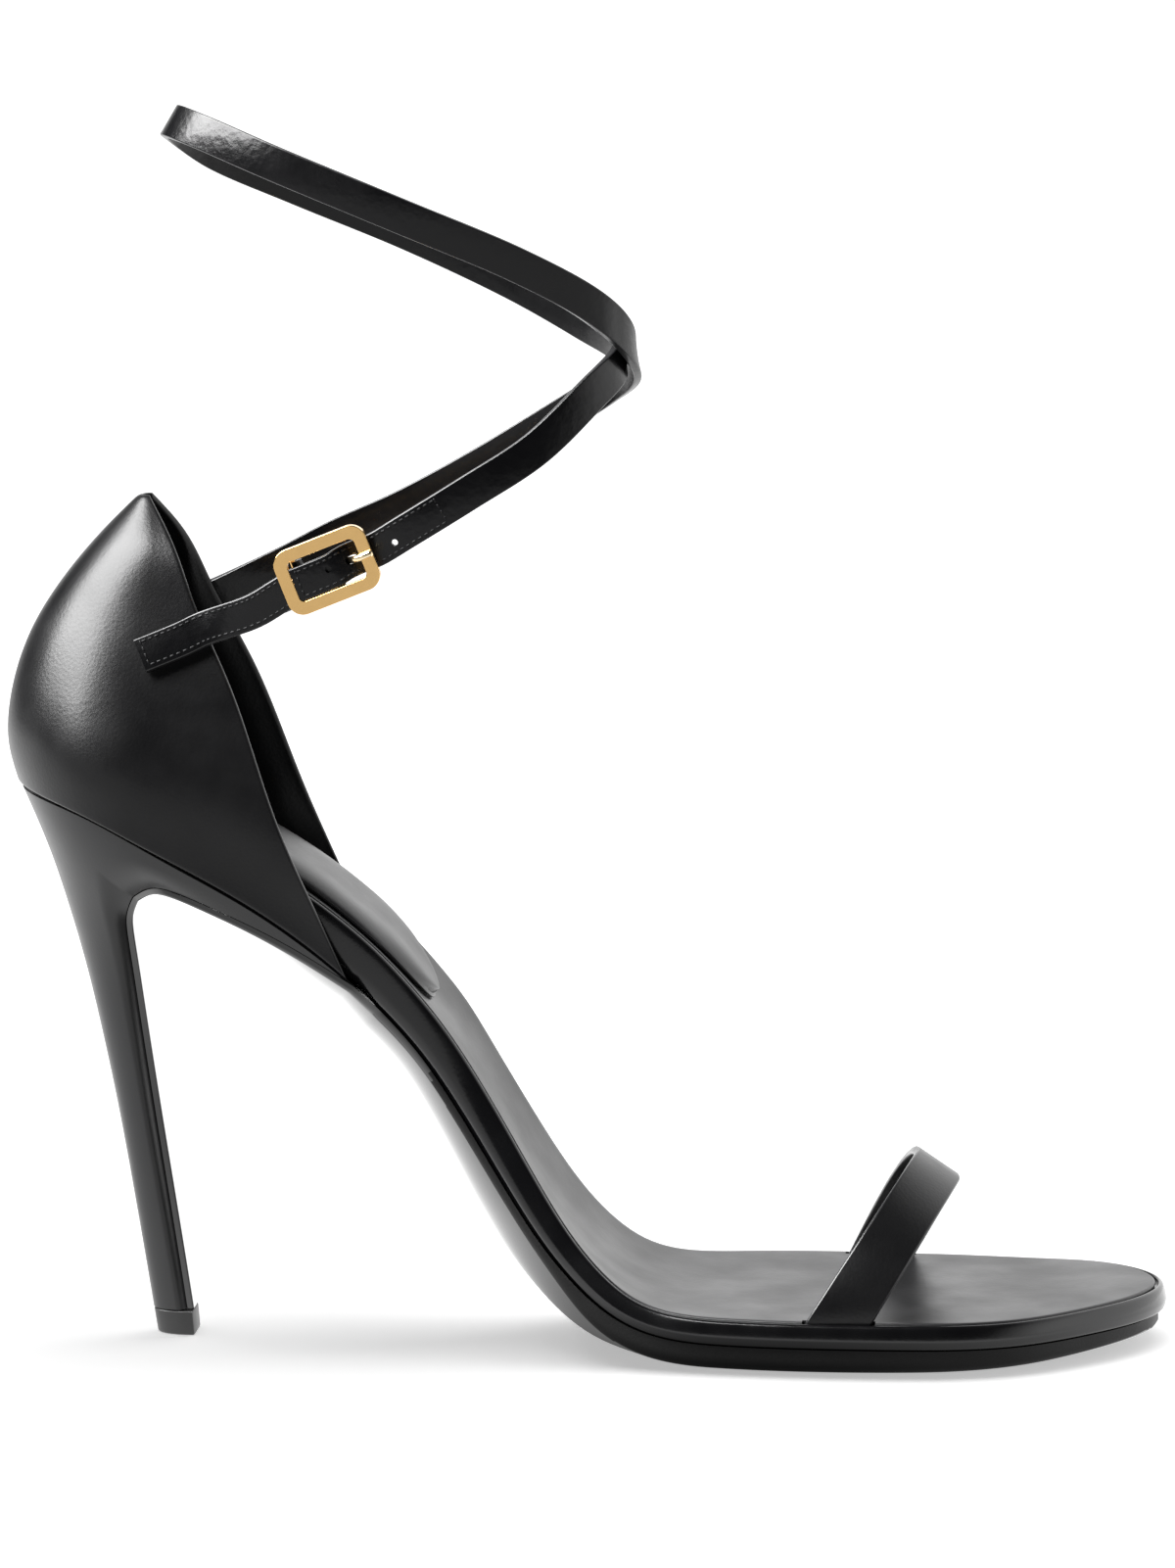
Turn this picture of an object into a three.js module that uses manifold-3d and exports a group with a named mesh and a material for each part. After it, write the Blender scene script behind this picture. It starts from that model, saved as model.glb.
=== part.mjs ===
import * as THREE from 'three';
import { mergeVertices } from 'three/addons/utils/BufferGeometryUtils.js';
import Module from 'manifold-3d';

// A high-heeled sandal for the right foot: a closed back with a pointed peak, a narrow toe strap,
// and a long strap that leaves the inner side of the back, goes once round the ankle and is buckled
// on the outer side. Millimetres, +X to the toe, +Y to the inner side of the foot, +Z up, with the
// origin at the centre of the heel tip's ground face.

const wasm = await Module();
wasm.setup();

// Driving dimensions
const BOARD_LENGTH = 213;
const HEEL_HEIGHT = 105;
const BALL_WIDTH = 74;
const SEAT_WIDTH = 42;
const HEEL_SET = 25.4;
const GAP = 0.3;
const BOARD_BELLY = 0.3;

const BOARD_THICKNESS = 4.6;
const SOLE_THICKNESS = 4.4;
const FLAP_THICKNESS = 1;
const CROWN_DEPTH = 8;
const DISH_DEPTH = 2.2;
const SOLE_INSET = 1.3;
const SOCK_THICKNESS = 0.9;
const SOCK_INSET = 1.7;
const PAD_LENGTH = 73;
const PAD_WIDTH = 32;
const PAD_THICKNESS = 3;

const LIFT_HEIGHT = 4.6;
const TIP_WIDTH = 9.2;

const COUNTER_HEIGHT = 56;
const COUNTER_WALL = 2;
const COUNTER_RIM = 1.3;
const COUNTER_INNER_ADVANCE = 3;

const TOE_STRAP_AT = 155.5;
const TOE_STRAP_SKEW = 2.3;
const TOE_STRAP_BOW = 1.8;
const TOE_STRAP_WIDTH = 12.5;
const TOE_STRAP_HEIGHT = 23.4;
const TOE_STRAP_THICKNESS = 1.8;
const TOE_STRAP_RIM = 1.6;
const TOE_STRAP_DEPTH = 3.4;

const STRAP_WIDTH = 6.5;
const STRAP_THICKNESS = 1.6;
const BUCKLE_STRAP_THICKNESS = 1.9;
const ANKLE_LENGTH = 85.7;
const ANKLE_WIDTH = 46.8;
const ANKLE_AT = 42.9;
const ANKLE_RISE = 82;
const HOLE_SPACING = 6.6;
const HOLE_DIAMETER = 1.2;
const HOLE_START = 0.3;

const BUCKLE_LENGTH = 18.3;
const BUCKLE_HEIGHT = 12.7;
const BUCKLE_BAR = 2.4;
const BUCKLE_THICKNESS = 2;
const BUCKLE_TILT = 22 * Math.PI / 180;
const BUCKLE_CORNER = 3;
const PIN_DIAMETER = 1.2;
const PRONG_DIAMETER = 1.3;

// Colours of the finished materials
const BLACK_LEATHER = { color: 0x17171a, roughness: 0.42, metalness: 0 };
const GLOSS_LEATHER = { color: 0x0d0d0f, roughness: 0.2, metalness: 0 };
const LINING_LEATHER = { color: 0x4a4a4c, roughness: 0.5, metalness: 0 };
const HARD_TIP = { color: 0x101012, roughness: 0.5, metalness: 0 };
const GOLD = { color: 0xd9a441, roughness: 0.22, metalness: 1 };

// Natural cubic spline through one column of a table, straight beyond its ends
function column(table, at, name) {
  const x = table.map((row) => row[at]);
  const y = table.map((row) => row[name]);
  const last = x.length - 1;
  const bend = new Array(last + 1).fill(0);
  const carry = new Array(last + 1).fill(0);
  for (let i = 1; i < last; i++) {
    const share = (x[i] - x[i - 1]) / (x[i + 1] - x[i - 1]);
    const pivot = share * bend[i - 1] + 2;
    const turn = (y[i + 1] - y[i]) / (x[i + 1] - x[i]) - (y[i] - y[i - 1]) / (x[i] - x[i - 1]);
    bend[i] = (share - 1) / pivot;
    carry[i] = (6 * turn / (x[i + 1] - x[i - 1]) - share * carry[i - 1]) / pivot;
  }
  bend[last] = 0;
  for (let i = last - 1; i >= 0; i--) {
    bend[i] = bend[i] * bend[i + 1] + carry[i];
  }
  bend[0] = 0;
  return (value) => {
    const inside = THREE.MathUtils.clamp(value, x[0], x[last]);
    let i = 0;
    while (i < last - 1 && inside > x[i + 1]) {
      i++;
    }
    const step = x[i + 1] - x[i];
    const a = (x[i + 1] - inside) / step;
    const b = 1 - a;
    const level = a * y[i] + b * y[i + 1]
      + ((a ** 3 - a) * bend[i] + (b ** 3 - b) * bend[i + 1]) * step * step / 6;
    const slope = (y[i + 1] - y[i]) / step
      + ((1 - 3 * a * a) * bend[i] + (3 * b * b - 1) * bend[i + 1]) * step / 6;
    return level + slope * (value - inside);
  };
}

// Half-width share of a round end: a quarter ellipse over a depth, full width past it
function roundEnd(distance, depth) {
  const into = THREE.MathUtils.clamp(1 - distance / depth, 0, 1);
  return Math.sqrt(Math.max(0, 1 - into * into));
}

// Shares from 0 to 1, closer together towards both ends
function shares(count, crowding = 1) {
  return Array.from({ length: count + 1 }, (unused, i) => {
    const even = i / count;
    return even + (0.5 - 0.5 * Math.cos(Math.PI * even) - even) * crowding;
  });
}

// Solids
// Closed geometry from rings of points that run out along one face and back along the other
function ringSolid(rings) {
  const count = rings[0].length;
  const positions = rings.flat().flatMap((point) => [point.x, point.y, point.z]);
  const index = [];
  const quad = (a, b, c, d) => index.push(a, b, c, a, c, d);
  for (let r = 0; r < rings.length - 1; r++) {
    for (let i = 0; i < count; i++) {
      const next = (i + 1) % count;
      quad(r * count + i, r * count + next, (r + 1) * count + next, (r + 1) * count + i);
    }
  }
  const end = (rings.length - 1) * count;
  for (let i = 0; i < count / 2 - 1; i++) {
    const across = count - 1 - i;
    quad(across, across - 1, i + 1, i);
    quad(end + i, end + i + 1, end + across - 1, end + across);
  }
  return outward(positions, index);
}

// The same points with the faces turned so that the enclosed volume counts as positive
function outward(positions, index) {
  const point = (i) => new THREE.Vector3().fromArray(positions, 3 * i);
  let volume = 0;
  for (let i = 0; i < index.length; i += 3) {
    volume += point(index[i]).dot(point(index[i + 1]).cross(point(index[i + 2])));
  }
  if (volume < 0) {
    index.reverse();
  }
  const geometry = new THREE.BufferGeometry();
  geometry.setAttribute('position', new THREE.Float32BufferAttribute(positions, 3));
  geometry.setIndex(index);
  geometry.computeVertexNormals();
  return geometry;
}

function toManifold(source) {
  const bare = source.clone();
  bare.deleteAttribute('normal');
  bare.deleteAttribute('uv');
  const merged = mergeVertices(bare, 1e-4);
  return new wasm.Manifold(new wasm.Mesh({
    numProp: 3,
    vertProperties: new Float32Array(merged.attributes.position.array),
    triVerts: new Uint32Array(merged.index.array),
  }));
}

function fromManifold(body) {
  const mesh = body.getMesh();
  return outward(Array.from(mesh.vertProperties), Array.from(mesh.triVerts));
}

function cut(source, tools) {
  return fromManifold(tools.reduce((body, tool) => body.subtract(toManifold(tool)), toManifold(source)));
}

function join(sources) {
  const bodies = sources.map(toManifold);
  return fromManifold(bodies.slice(1).reduce((body, next) => body.add(next), bodies[0]));
}

function piece(name, geometry, finish) {
  const mesh = new THREE.Mesh(geometry, new THREE.MeshStandardMaterial(finish));
  mesh.name = name;
  return mesh;
}

// The last's bed
// along: share of the board from its back end. rise: share of the seat's height over the forefoot.
// middle and half: the outline's centre line and half-width, shares of the ball width.
const BED = [
  { along: 0.000, rise: 1.000, middle: 0.000, half: 0.282 },
  { along: 0.058, rise: 0.964, middle: 0.000, half: 0.283 },
  { along: 0.138, rise: 0.885, middle: 0.000, half: 0.288 },
  { along: 0.186, rise: 0.832, middle: 0.000, half: 0.288 },
  { along: 0.232, rise: 0.775, middle: 0.001, half: 0.284 },
  { along: 0.274, rise: 0.712, middle: 0.003, half: 0.278 },
  { along: 0.312, rise: 0.643, middle: 0.006, half: 0.273 },
  { along: 0.345, rise: 0.568, middle: 0.010, half: 0.270 },
  { along: 0.373, rise: 0.493, middle: 0.012, half: 0.270 },
  { along: 0.401, rise: 0.404, middle: -0.005, half: 0.259 },
  { along: 0.429, rise: 0.308, middle: -0.018, half: 0.266 },
  { along: 0.455, rise: 0.219, middle: -0.025, half: 0.288 },
  { along: 0.478, rise: 0.148, middle: -0.027, half: 0.317 },
  { along: 0.503, rise: 0.087, middle: -0.026, half: 0.351 },
  { along: 0.528, rise: 0.043, middle: -0.018, half: 0.389 },
  { along: 0.554, rise: 0.017, middle: -0.005, half: 0.426 },
  { along: 0.584, rise: 0.005, middle: 0.006, half: 0.458 },
  { along: 0.622, rise: 0.001, middle: 0.016, half: 0.484 },
  { along: 0.706, rise: 0.000, middle: 0.014, half: 0.503 },
  { along: 0.824, rise: 0.000, middle: 0.009, half: 0.489 },
  { along: 0.885, rise: 0.001, middle: 0.032, half: 0.482 },
  { along: 0.940, rise: 0.004, middle: 0.078, half: 0.472 },
  { along: 1.000, rise: 0.008, middle: 0.101, half: 0.453 },
];

// board and edge: shares of the board's and the sole's forefoot thickness at the outline.
// board_crown and sole_crown: how far the middle of each underside hangs lower, shares of the
// crown depth. dish: how far the middle of the bed lies lower, share of the dish depth.
const LAYERS = [
  { along: 0.000, board: 1.65, edge: 0.38, board_crown: 0.04, sole_crown: 0.10, dish: 0.30 },
  { along: 0.200, board: 1.65, edge: 0.38, board_crown: 0.08, sole_crown: 0.40, dish: 0.45 },
  { along: 0.274, board: 1.65, edge: 0.40, board_crown: 0.25, sole_crown: 0.66, dish: 0.60 },
  { along: 0.312, board: 1.60, edge: 0.40, board_crown: 0.40, sole_crown: 0.80, dish: 0.80 },
  { along: 0.373, board: 1.38, edge: 0.34, board_crown: 0.52, sole_crown: 0.79, dish: 1.00 },
  { along: 0.429, board: 1.24, edge: 0.32, board_crown: 0.55, sole_crown: 0.90, dish: 1.00 },
  { along: 0.465, board: 1.15, edge: 0.30, board_crown: 0.54, sole_crown: 1.02, dish: 0.95 },
  { along: 0.490, board: 1.08, edge: 0.38, board_crown: 0.47, sole_crown: 1.00, dish: 0.85 },
  { along: 0.528, board: 1.02, edge: 0.75, board_crown: 0.28, sole_crown: 0.78, dish: 0.60 },
  { along: 0.560, board: 1.00, edge: 0.95, board_crown: 0.11, sole_crown: 0.42, dish: 0.35 },
  { along: 0.610, board: 1.00, edge: 1.01, board_crown: 0.04, sole_crown: 0.17, dish: 0.20 },
  { along: 0.720, board: 1.00, edge: 1.00, board_crown: 0.04, sole_crown: 0.13, dish: 0.15 },
  { along: 0.840, board: 1.00, edge: 0.90, board_crown: 0.04, sole_crown: 0.12, dish: 0.12 },
  { along: 1.000, board: 1.00, edge: 0.57, board_crown: 0.04, sole_crown: 0.08, dish: 0.05 },
];

const TOE_ROUND = 0.21;
const HEEL_ROUND = 0.125;
const FORE_TOP = SOLE_THICKNESS + GAP + BOARD_THICKNESS + 0.8;
const SEAT_TOP = HEEL_HEIGHT + 7.9;

const bed = {};
for (const name of ['rise', 'middle', 'half']) {
  bed[name] = column(BED, 'along', name);
}
for (const name of ['board', 'edge', 'board_crown', 'sole_crown', 'dish']) {
  bed[name] = column(LAYERS, 'along', name);
}

function bedX(along) {
  return along * BOARD_LENGTH - HEEL_SET;
}

function bedZ(along) {
  return FORE_TOP + bed.rise(along) * (SEAT_TOP - FORE_TOP);
}

// Half-width before the round ends, following the seat's width behind and the ball's in front
function sideWidth(along) {
  const front = THREE.MathUtils.smoothstep(along, 0.33, 0.55);
  const seatShare = SEAT_WIDTH / (2 * 0.284 * BALL_WIDTH);
  return bed.half(along) * BALL_WIDTH * THREE.MathUtils.lerp(seatShare, 1, front);
}

// Frame of the bed at a share of its length: the edge of the board's top, the normal and the outline
// moved inwards by an inset
function station(along, inset = 0) {
  const nudge = 0.002;
  const run = bedX(along + nudge) - bedX(along - nudge);
  const climb = bedZ(along + nudge) - bedZ(along - nudge);
  const length = Math.hypot(run, climb);
  const toe = roundEnd((1 - along) * BOARD_LENGTH - inset, TOE_ROUND * BOARD_LENGTH - inset);
  const back = roundEnd(along * BOARD_LENGTH - inset, HEEL_ROUND * BOARD_LENGTH - inset);
  return {
    along,
    edge: new THREE.Vector3(bedX(along), 0, bedZ(along)),
    normal: new THREE.Vector3(-climb / length, 0, run / length),
    middle: bed.middle(along) * BALL_WIDTH,
    half: (sideWidth(along) - inset) * toe * back,
    board: bed.board(along) * BOARD_THICKNESS,
    full: sideWidth(along),
  };
}

// Point of a layer: a share across the outline, and a height over the bed's edge line
function onStation(at, across, height) {
  const point = at.edge.clone().addScaledVector(at.normal, height);
  point.y = at.middle + across * at.half;
  return point;
}

// How much of a crown or dish is left at a share across an outline
function arch(at, across) {
  const share = across * at.half / at.full;
  return 1 - share * share;
}

function dishAt(at, across) {
  return -bed.dish(at.along) * DISH_DEPTH * arch(at, across);
}

function boardUnderside(at, across) {
  return -at.board - bed.board_crown(at.along) * CROWN_DEPTH * arch(at, across);
}

// Lines that run along every layer at the same places, so that neighbours bend alike: their shares
// of the board's length, and their shares across it
const BED_ALONG = shares(42, 0.5);
const TOP_ACROSS = [-0.82, -0.42, 0, 0.42, 0.82];
const UNDER_ACROSS = [-0.7, -0.35, 0, 0.35, 0.7];

// The shared lines between two shares, with the two ends added; none lies close to an end
const LINE_ROOM = 1.2;
const BOARD_TIP = 0.0012;
function bedLines(first, last) {
  const room = LINE_ROOM / BOARD_LENGTH;
  return [first, ...BED_ALONG.filter((along) => along > first + room && along < last - room), last];
}

// Shares across a layer of its own width that fall on the board's lines where it is wide enough
function onBoardLines(at, lines) {
  const board = station(at.along);
  return lines.map((across) => across * Math.min(board.half / at.half, 1.15));
}

// Insole board, with a rolled upper rim and a slightly bellied wrapped edge
const BOARD_ROLL = 1.1;
const RECESS = SOCK_THICKNESS;
function boardRing(at) {
  const roll = Math.min(BOARD_ROLL, at.half * 0.4);
  const low = boardUnderside(at, 1);
  const rim = dishAt(at, 1 - roll / at.half);
  const side = (sign, inwards, height) => {
    const point = onStation(at, sign, height);
    point.y -= sign * inwards;
    return point;
  };
  const top = TOP_ACROSS.map((across) => onStation(at, across, dishAt(at, across) - RECESS));
  const under = UNDER_ACROSS.map((across) => onStation(at, across, boardUnderside(at, across))).reverse();
  const flank = (sign) => [
    side(sign, roll * 1.15, rim - RECESS),
    side(sign, roll, rim),
    side(sign, roll * 0.3, rim - roll * 0.25),
    side(sign, -BOARD_BELLY, (low - roll) / 2),
    side(sign, roll * 0.2, low),
  ];
  return [...flank(-1).slice(0, 1), ...top, ...flank(1), ...under, ...flank(-1).slice(1).reverse()];
}

function insoleBoard() {
  const rings = bedLines(BOARD_TIP, 1 - BOARD_TIP).map((along) => boardRing(station(along)));
  return cut(ringSolid(rings), strapSlots(0));
}

// Sock lining on the board, cut out round the toe strap's feet
function sockLining() {
  const first = (SOCK_INSET + 0.15) / BOARD_LENGTH;
  const rings = bedLines(first, 1 - first).map((along) => {
    const at = station(along, SOCK_INSET);
    const level = (across, height) => onStation(at, across, dishAt(at, across) - RECESS + GAP + height);
    const spread = [-1, ...onBoardLines(at, TOP_ACROSS), 1]
      .map((across) => THREE.MathUtils.clamp(across, -1, 1));
    spread[1] = Math.max(spread[1], -0.96);
    spread[spread.length - 2] = Math.min(spread[spread.length - 2], 0.96);
    const upper = spread.map((across) => level(across, SOCK_THICKNESS));
    const lower = spread.map((across) => level(across, 0));
    return [...upper, ...lower.reverse()];
  });
  return cut(ringSolid(rings), strapSlots(2));
}

// Heel pad: a low cushion from inside the closed back to the waist, rounded at both ends
const PAD_START = 0.012;
const PAD_EDGE = 0.3;
function heelPad() {
  const length = PAD_LENGTH / BOARD_LENGTH;
  const rings = bedLines(PAD_START + 0.004 * length, PAD_START + 0.996 * length).map((along) => {
    const at = station(along);
    const share = (along - PAD_START) / length;
    const ends = roundEnd(share * PAD_LENGTH, 20) * roundEnd((1 - share) * PAD_LENGTH, 15);
    const half = Math.max(0.6, PAD_WIDTH / 2 * ends);
    const room = station(at.along, SOCK_INSET + 1).half;
    at.half = Math.min(half, room);
    const level = (across, height) => onStation(at, across, dishAt(at, across) + 2 * GAP + height);
    const swell = Math.sqrt(Math.min(1, 0.12 + ends));
    const rise = (across) => PAD_THICKNESS * swell * (PAD_EDGE + (1 - PAD_EDGE) * (1 - across ** 4));
    const spread = [-1, -0.85, -0.45, 0, 0.45, 0.85, 1];
    return [...spread.map((s) => level(s, rise(s))), ...spread.map((s) => level(s, 0)).reverse()];
  });
  return ringSolid(rings);
}

// Heel seat
// The board's underside at its edge, met by the heel and by the closed back's lower rim
function seatPoint(along) {
  const at = station(along);
  return at.edge.clone().addScaledVector(at.normal, -at.board);
}

// The share of the board whose seat point stands at a given x
function seatShareAt(x) {
  let low = -0.1;
  let high = 0.4;
  for (let i = 0; i < 30; i++) {
    const middle = (low + high) / 2;
    if (seatPoint(middle).x < x) {
      low = middle;
    } else {
      high = middle;
    }
  }
  return (low + high) / 2;
}

// Heel
// The breast runs up the front of the column and out under the wedge, the back down behind it.
// Each row ties a point of the breast to a point of the back: x as shares of the board length,
// z as shares of the heel height. pinch: how much narrower the flat breast is than the section.
const HEEL_STATIONS = [
  { step: 0, breast_x: 0.0150, breast_z: 0.0467, back_x: -0.0223, back_z: 0.0467, pinch: 0.42 },
  { step: 1, breast_x: 0.0078, breast_z: 0.143, back_x: -0.0300, back_z: 0.143, pinch: 0.45 },
  { step: 2, breast_x: -0.0032, breast_z: 0.286, back_x: -0.0418, back_z: 0.286, pinch: 0.48 },
  { step: 3, breast_x: -0.0140, breast_z: 0.429, back_x: -0.0545, back_z: 0.429, pinch: 0.48 },
  { step: 4, breast_x: -0.0236, breast_z: 0.571, back_x: -0.0690, back_z: 0.571, pinch: 0.40 },
  { step: 5, breast_x: -0.0292, breast_z: 0.667, back_x: -0.0812, back_z: 0.676, pinch: 0.33 },
  { step: 6, breast_x: -0.0328, breast_z: 0.738, back_x: -0.0967, back_z: 0.788, pinch: 0.29 },
  { step: 7, breast_x: -0.0325, breast_z: 0.778, back_x: -0.1141, back_z: 0.895, pinch: 0.27 },
  { step: 8, breast_x: -0.0265, breast_z: 0.808, back_x: -0.1370, back_z: 1.005, pinch: 0.24 },
];
const COLUMN_STEPS = 8;
const HEEL_ROWS = 28;

// The wedge beyond the corner: under the seat, from the corner's top to its feather edge
const WEDGE = [
  { out: 0.00, x: -0.0265, z: 0.8080, pinch: 0.24 },
  { out: 0.09, x: -0.0130, z: 0.8250, pinch: 0.16 },
  { out: 0.20, x: 0.0040, z: 0.8255, pinch: 0.08 },
  { out: 0.37, x: 0.0332, z: 0.8057, pinch: 0.02 },
  { out: 0.58, x: 0.0750, z: 0.7690, pinch: 0.00 },
  { out: 0.80, x: 0.1210, z: 0.7200, pinch: 0.00 },
  { out: 1.00, x: 0.1660, z: 0.6640, pinch: 0.00 },
];

// depth: share of the heel height below the seat. half: share of the full half-width there.
// round: how deep the rounded back is, share of the board length.
const HEEL_SECTIONS = [
  { depth: 0.000, half: 1.000, round: 0.136 },
  { depth: 0.055, half: 0.905, round: 0.110 },
  { depth: 0.110, half: 0.775, round: 0.088 },
  { depth: 0.170, half: 0.610, round: 0.070 },
  { depth: 0.260, half: 0.425, round: 0.052 },
  { depth: 0.370, half: 0.315, round: 0.040 },
  { depth: 0.520, half: 0.250, round: 0.033 },
  { depth: 0.700, half: 0.215, round: 0.030 },
  { depth: 1.000, half: 0.196, round: 0.028 },
];

const heelColumn = {};
for (const name of ['breast_x', 'breast_z', 'back_x', 'back_z', 'pinch']) {
  heelColumn[name] = column(HEEL_STATIONS, 'step', name);
}
const wedge = {};
for (const name of ['x', 'z', 'pinch']) {
  wedge[name] = column(WEDGE, 'out', name);
}
const heelHalf = column(HEEL_SECTIONS, 'depth', 'half');
const heelRound = column(HEEL_SECTIONS, 'depth', 'round');
const backAtHeight = column(HEEL_STATIONS, 'back_z', 'back_x');

function heelBackX(z) {
  return backAtHeight(Math.min(z / HEEL_HEIGHT, 1.005)) * BOARD_LENGTH;
}

// Half-width of the heel's outside at a point of its side view
function heelWidth(x, z) {
  const share = seatShareAt(Math.max(x, seatPoint(0).x - COUNTER_WALL));
  const depth = Math.max(0, seatPoint(share).z - z) / HEEL_HEIGHT;
  const full = sideWidth(share) + BOARD_BELLY + GAP + COUNTER_WALL;
  const tip = TIP_WIDTH / 2 / (heelHalf(1) * full);
  const slim = THREE.MathUtils.lerp(1, tip, Math.min(1, depth / 0.5));
  const past = Math.max(0, x - heelBackX(z));
  return Math.max(0.4, full * heelHalf(depth) * slim * roundEnd(past, heelRound(depth) * BOARD_LENGTH));
}

// The flap's outer face line: station 0 is the heel's lower end, 1 the wedge's feather edge
const CORNER = 0.5;
function flapLine(share) {
  if (share <= CORNER) {
    const step = share / CORNER * COLUMN_STEPS;
    const [x, z] = [heelColumn.breast_x(step), heelColumn.breast_z(step)];
    return new THREE.Vector3(x * BOARD_LENGTH, 0, z * HEEL_HEIGHT);
  }
  const out = (share - CORNER) / (1 - CORNER);
  return new THREE.Vector3(wedge.x(out) * BOARD_LENGTH, 0, wedge.z(out) * HEEL_HEIGHT);
}

// Direction into the heel, square to the flap
function breastNormal(share) {
  const ahead = flapLine(Math.min(1, share + 0.02));
  const behind = flapLine(Math.max(0, share - 0.02));
  const along = ahead.sub(behind).normalize();
  return new THREE.Vector3(-along.z, 0, along.x);
}

// The heel's own breast line, behind the flap
function breastPoint(share) {
  const point = flapLine(share).addScaledVector(breastNormal(share), FLAP_THICKNESS + GAP);
  point.z = Math.max(point.z, LIFT_HEIGHT + GAP);
  return point;
}

// Share of the section's half-width that is left at a reach from the breast to the back
const PINCH_REACH = 0.3;
function breastShare(share, reach) {
  const pinch = share <= CORNER
    ? heelColumn.pinch(share / CORNER * COLUMN_STEPS)
    : wedge.pinch((share - CORNER) / (1 - CORNER));
  return 1 - pinch * Math.max(0, 1 - reach / PINCH_REACH) ** 2;
}

// How far the middle of the wedge's underside hangs below its sides
const WEDGE_CROWN = 0.8;
const CROWN_START = 0.55;
function wedgeCrown(share) {
  return WEDGE_CROWN * CROWN_DEPTH * THREE.MathUtils.smoothstep(share, CROWN_START, 1);
}

const SEAT_OVERSHOOT = 5;
function backPoint(share) {
  if (share <= CORNER) {
    const step = share / CORNER * COLUMN_STEPS;
    const [x, z] = [heelColumn.back_x(step), heelColumn.back_z(step)];
    return new THREE.Vector3(x * BOARD_LENGTH, 0, z * HEEL_HEIGHT);
  }
  const out = (share - CORNER) / (1 - CORNER);
  const along = THREE.MathUtils.lerp(-0.016, 0.312, out ** 0.85);
  const at = station(along);
  const corner = backPoint(CORNER);
  const over = seatPoint(along).addScaledVector(at.normal, SEAT_OVERSHOOT);
  return corner.lerp(over, THREE.MathUtils.smoothstep(out, 0, 0.12));
}

function heelRing(share) {
  const front = breastPoint(share);
  const back = backPoint(share);
  const inwards = breastNormal(share);
  const half = heelWidth(front.x, front.z) * breastShare(share, 0);
  const crown = wedgeCrown(share);
  const face = [-1, -0.7, -0.35, 0, 0.35, 0.7, 1].map((across) => {
    const point = front.clone().addScaledVector(inwards, -crown * (1 - across * across));
    point.y = across * half;
    return point;
  });
  const flank = (sign) => [0.12, 0.28, 0.5, 0.7, 0.84, 0.94, 1].map((reach) => {
    const point = front.clone().lerp(back, reach);
    point.y = sign * heelWidth(point.x, point.z) * breastShare(share, reach);
    return point;
  });
  return [...flank(-1).reverse(), ...face, ...flank(1)];
}

function evenRing(ring) {
  const count = ring.length;
  return count % 2 === 0 ? ring : [...ring, ring[count - 1].clone().lerp(ring[0], 0.5)];
}

// Everything above the heel seat, with the board's crowned underside as its lower face
const SEAT_CUT_HEIGHT = 25;
const SEAT_CUT_WIDTH = 1.6;
function aboveSeat() {
  const rings = [-0.06, -0.03, 0, ...bedLines(BOARD_TIP, 0.4)].map((along) => {
    const at = station(along);
    const under = (y) => -at.board - 1.4 * GAP
      - bed.board_crown(along) * CROWN_DEPTH * Math.max(0, 1 - (y / at.full) ** 2);
    const level = (y, height) => {
      const point = at.edge.clone().addScaledVector(at.normal, height);
      point.y = at.middle + y;
      return point;
    };
    const lines = UNDER_ACROSS.map((across) => across * at.half);
    const spread = [-SEAT_CUT_WIDTH * at.full, -at.full, ...lines, at.full, SEAT_CUT_WIDTH * at.full];
    const upper = spread.map((y) => level(y, SEAT_CUT_HEIGHT));
    return [...spread.map((y) => level(y, under(y))), ...upper.reverse()];
  });
  return ringSolid(rings);
}

function heel() {
  const rings = shares(HEEL_ROWS, 0).map((share) => evenRing(heelRing(share)));
  return cut(ringSolid(rings), [aboveSeat()]);
}

// Top lift under the heel, as deep as heel and flap together
const LIFT_CORNER = 0.86;
const LIFT_ROUND = 6;
function topLift() {
  const outline = (z, grow) => {
    const front = breastPoint(0).x + (breastPoint(0).x - breastPoint(0.05).x) * 0.35 * (1 - z / LIFT_HEIGHT)
      + GAP + FLAP_THICKNESS + grow;
    const back = heelBackX(z) - grow;
    const reach = [0, 0.05, 0.2, 0.4, 0.6, 0.78, 0.92, 1];
    const half = (share) => TIP_WIDTH / 2 * (share === 0 ? LIFT_CORNER : 1)
      * roundEnd((1 - share) * (front - back), LIFT_ROUND);
    const side = (sign) => reach.map((share) => new THREE.Vector3(
      THREE.MathUtils.lerp(front, back, share), sign * Math.max(0.5, half(share)), z));
    return [...side(1), ...side(-1).reverse()];
  };
  return ringSolid([outline(0, -0.2), outline(0.4, 0), outline(LIFT_HEIGHT, 0)]);
}

// Outsole
const TREAD_ACROSS = [0.9, 0.6, 0.3, 0, -0.3, -0.6, -0.9];
function soleRing(place, lines, topAt, bottomAt) {
  const middleOf = (sign) => {
    const top = place(sign, topAt(sign));
    return top.lerp(place(sign, bottomAt(sign)), 0.45);
  };
  const grounded = (point) => {
    point.z = Math.max(0, point.z);
    return point;
  };
  return [
    ...[-1, ...lines, 1].map((across) => place(across, topAt(across))),
    middleOf(1),
    ...TREAD_ACROSS.map((across) => grounded(place(across, bottomAt(across)))),
    middleOf(-1),
  ];
}

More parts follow.
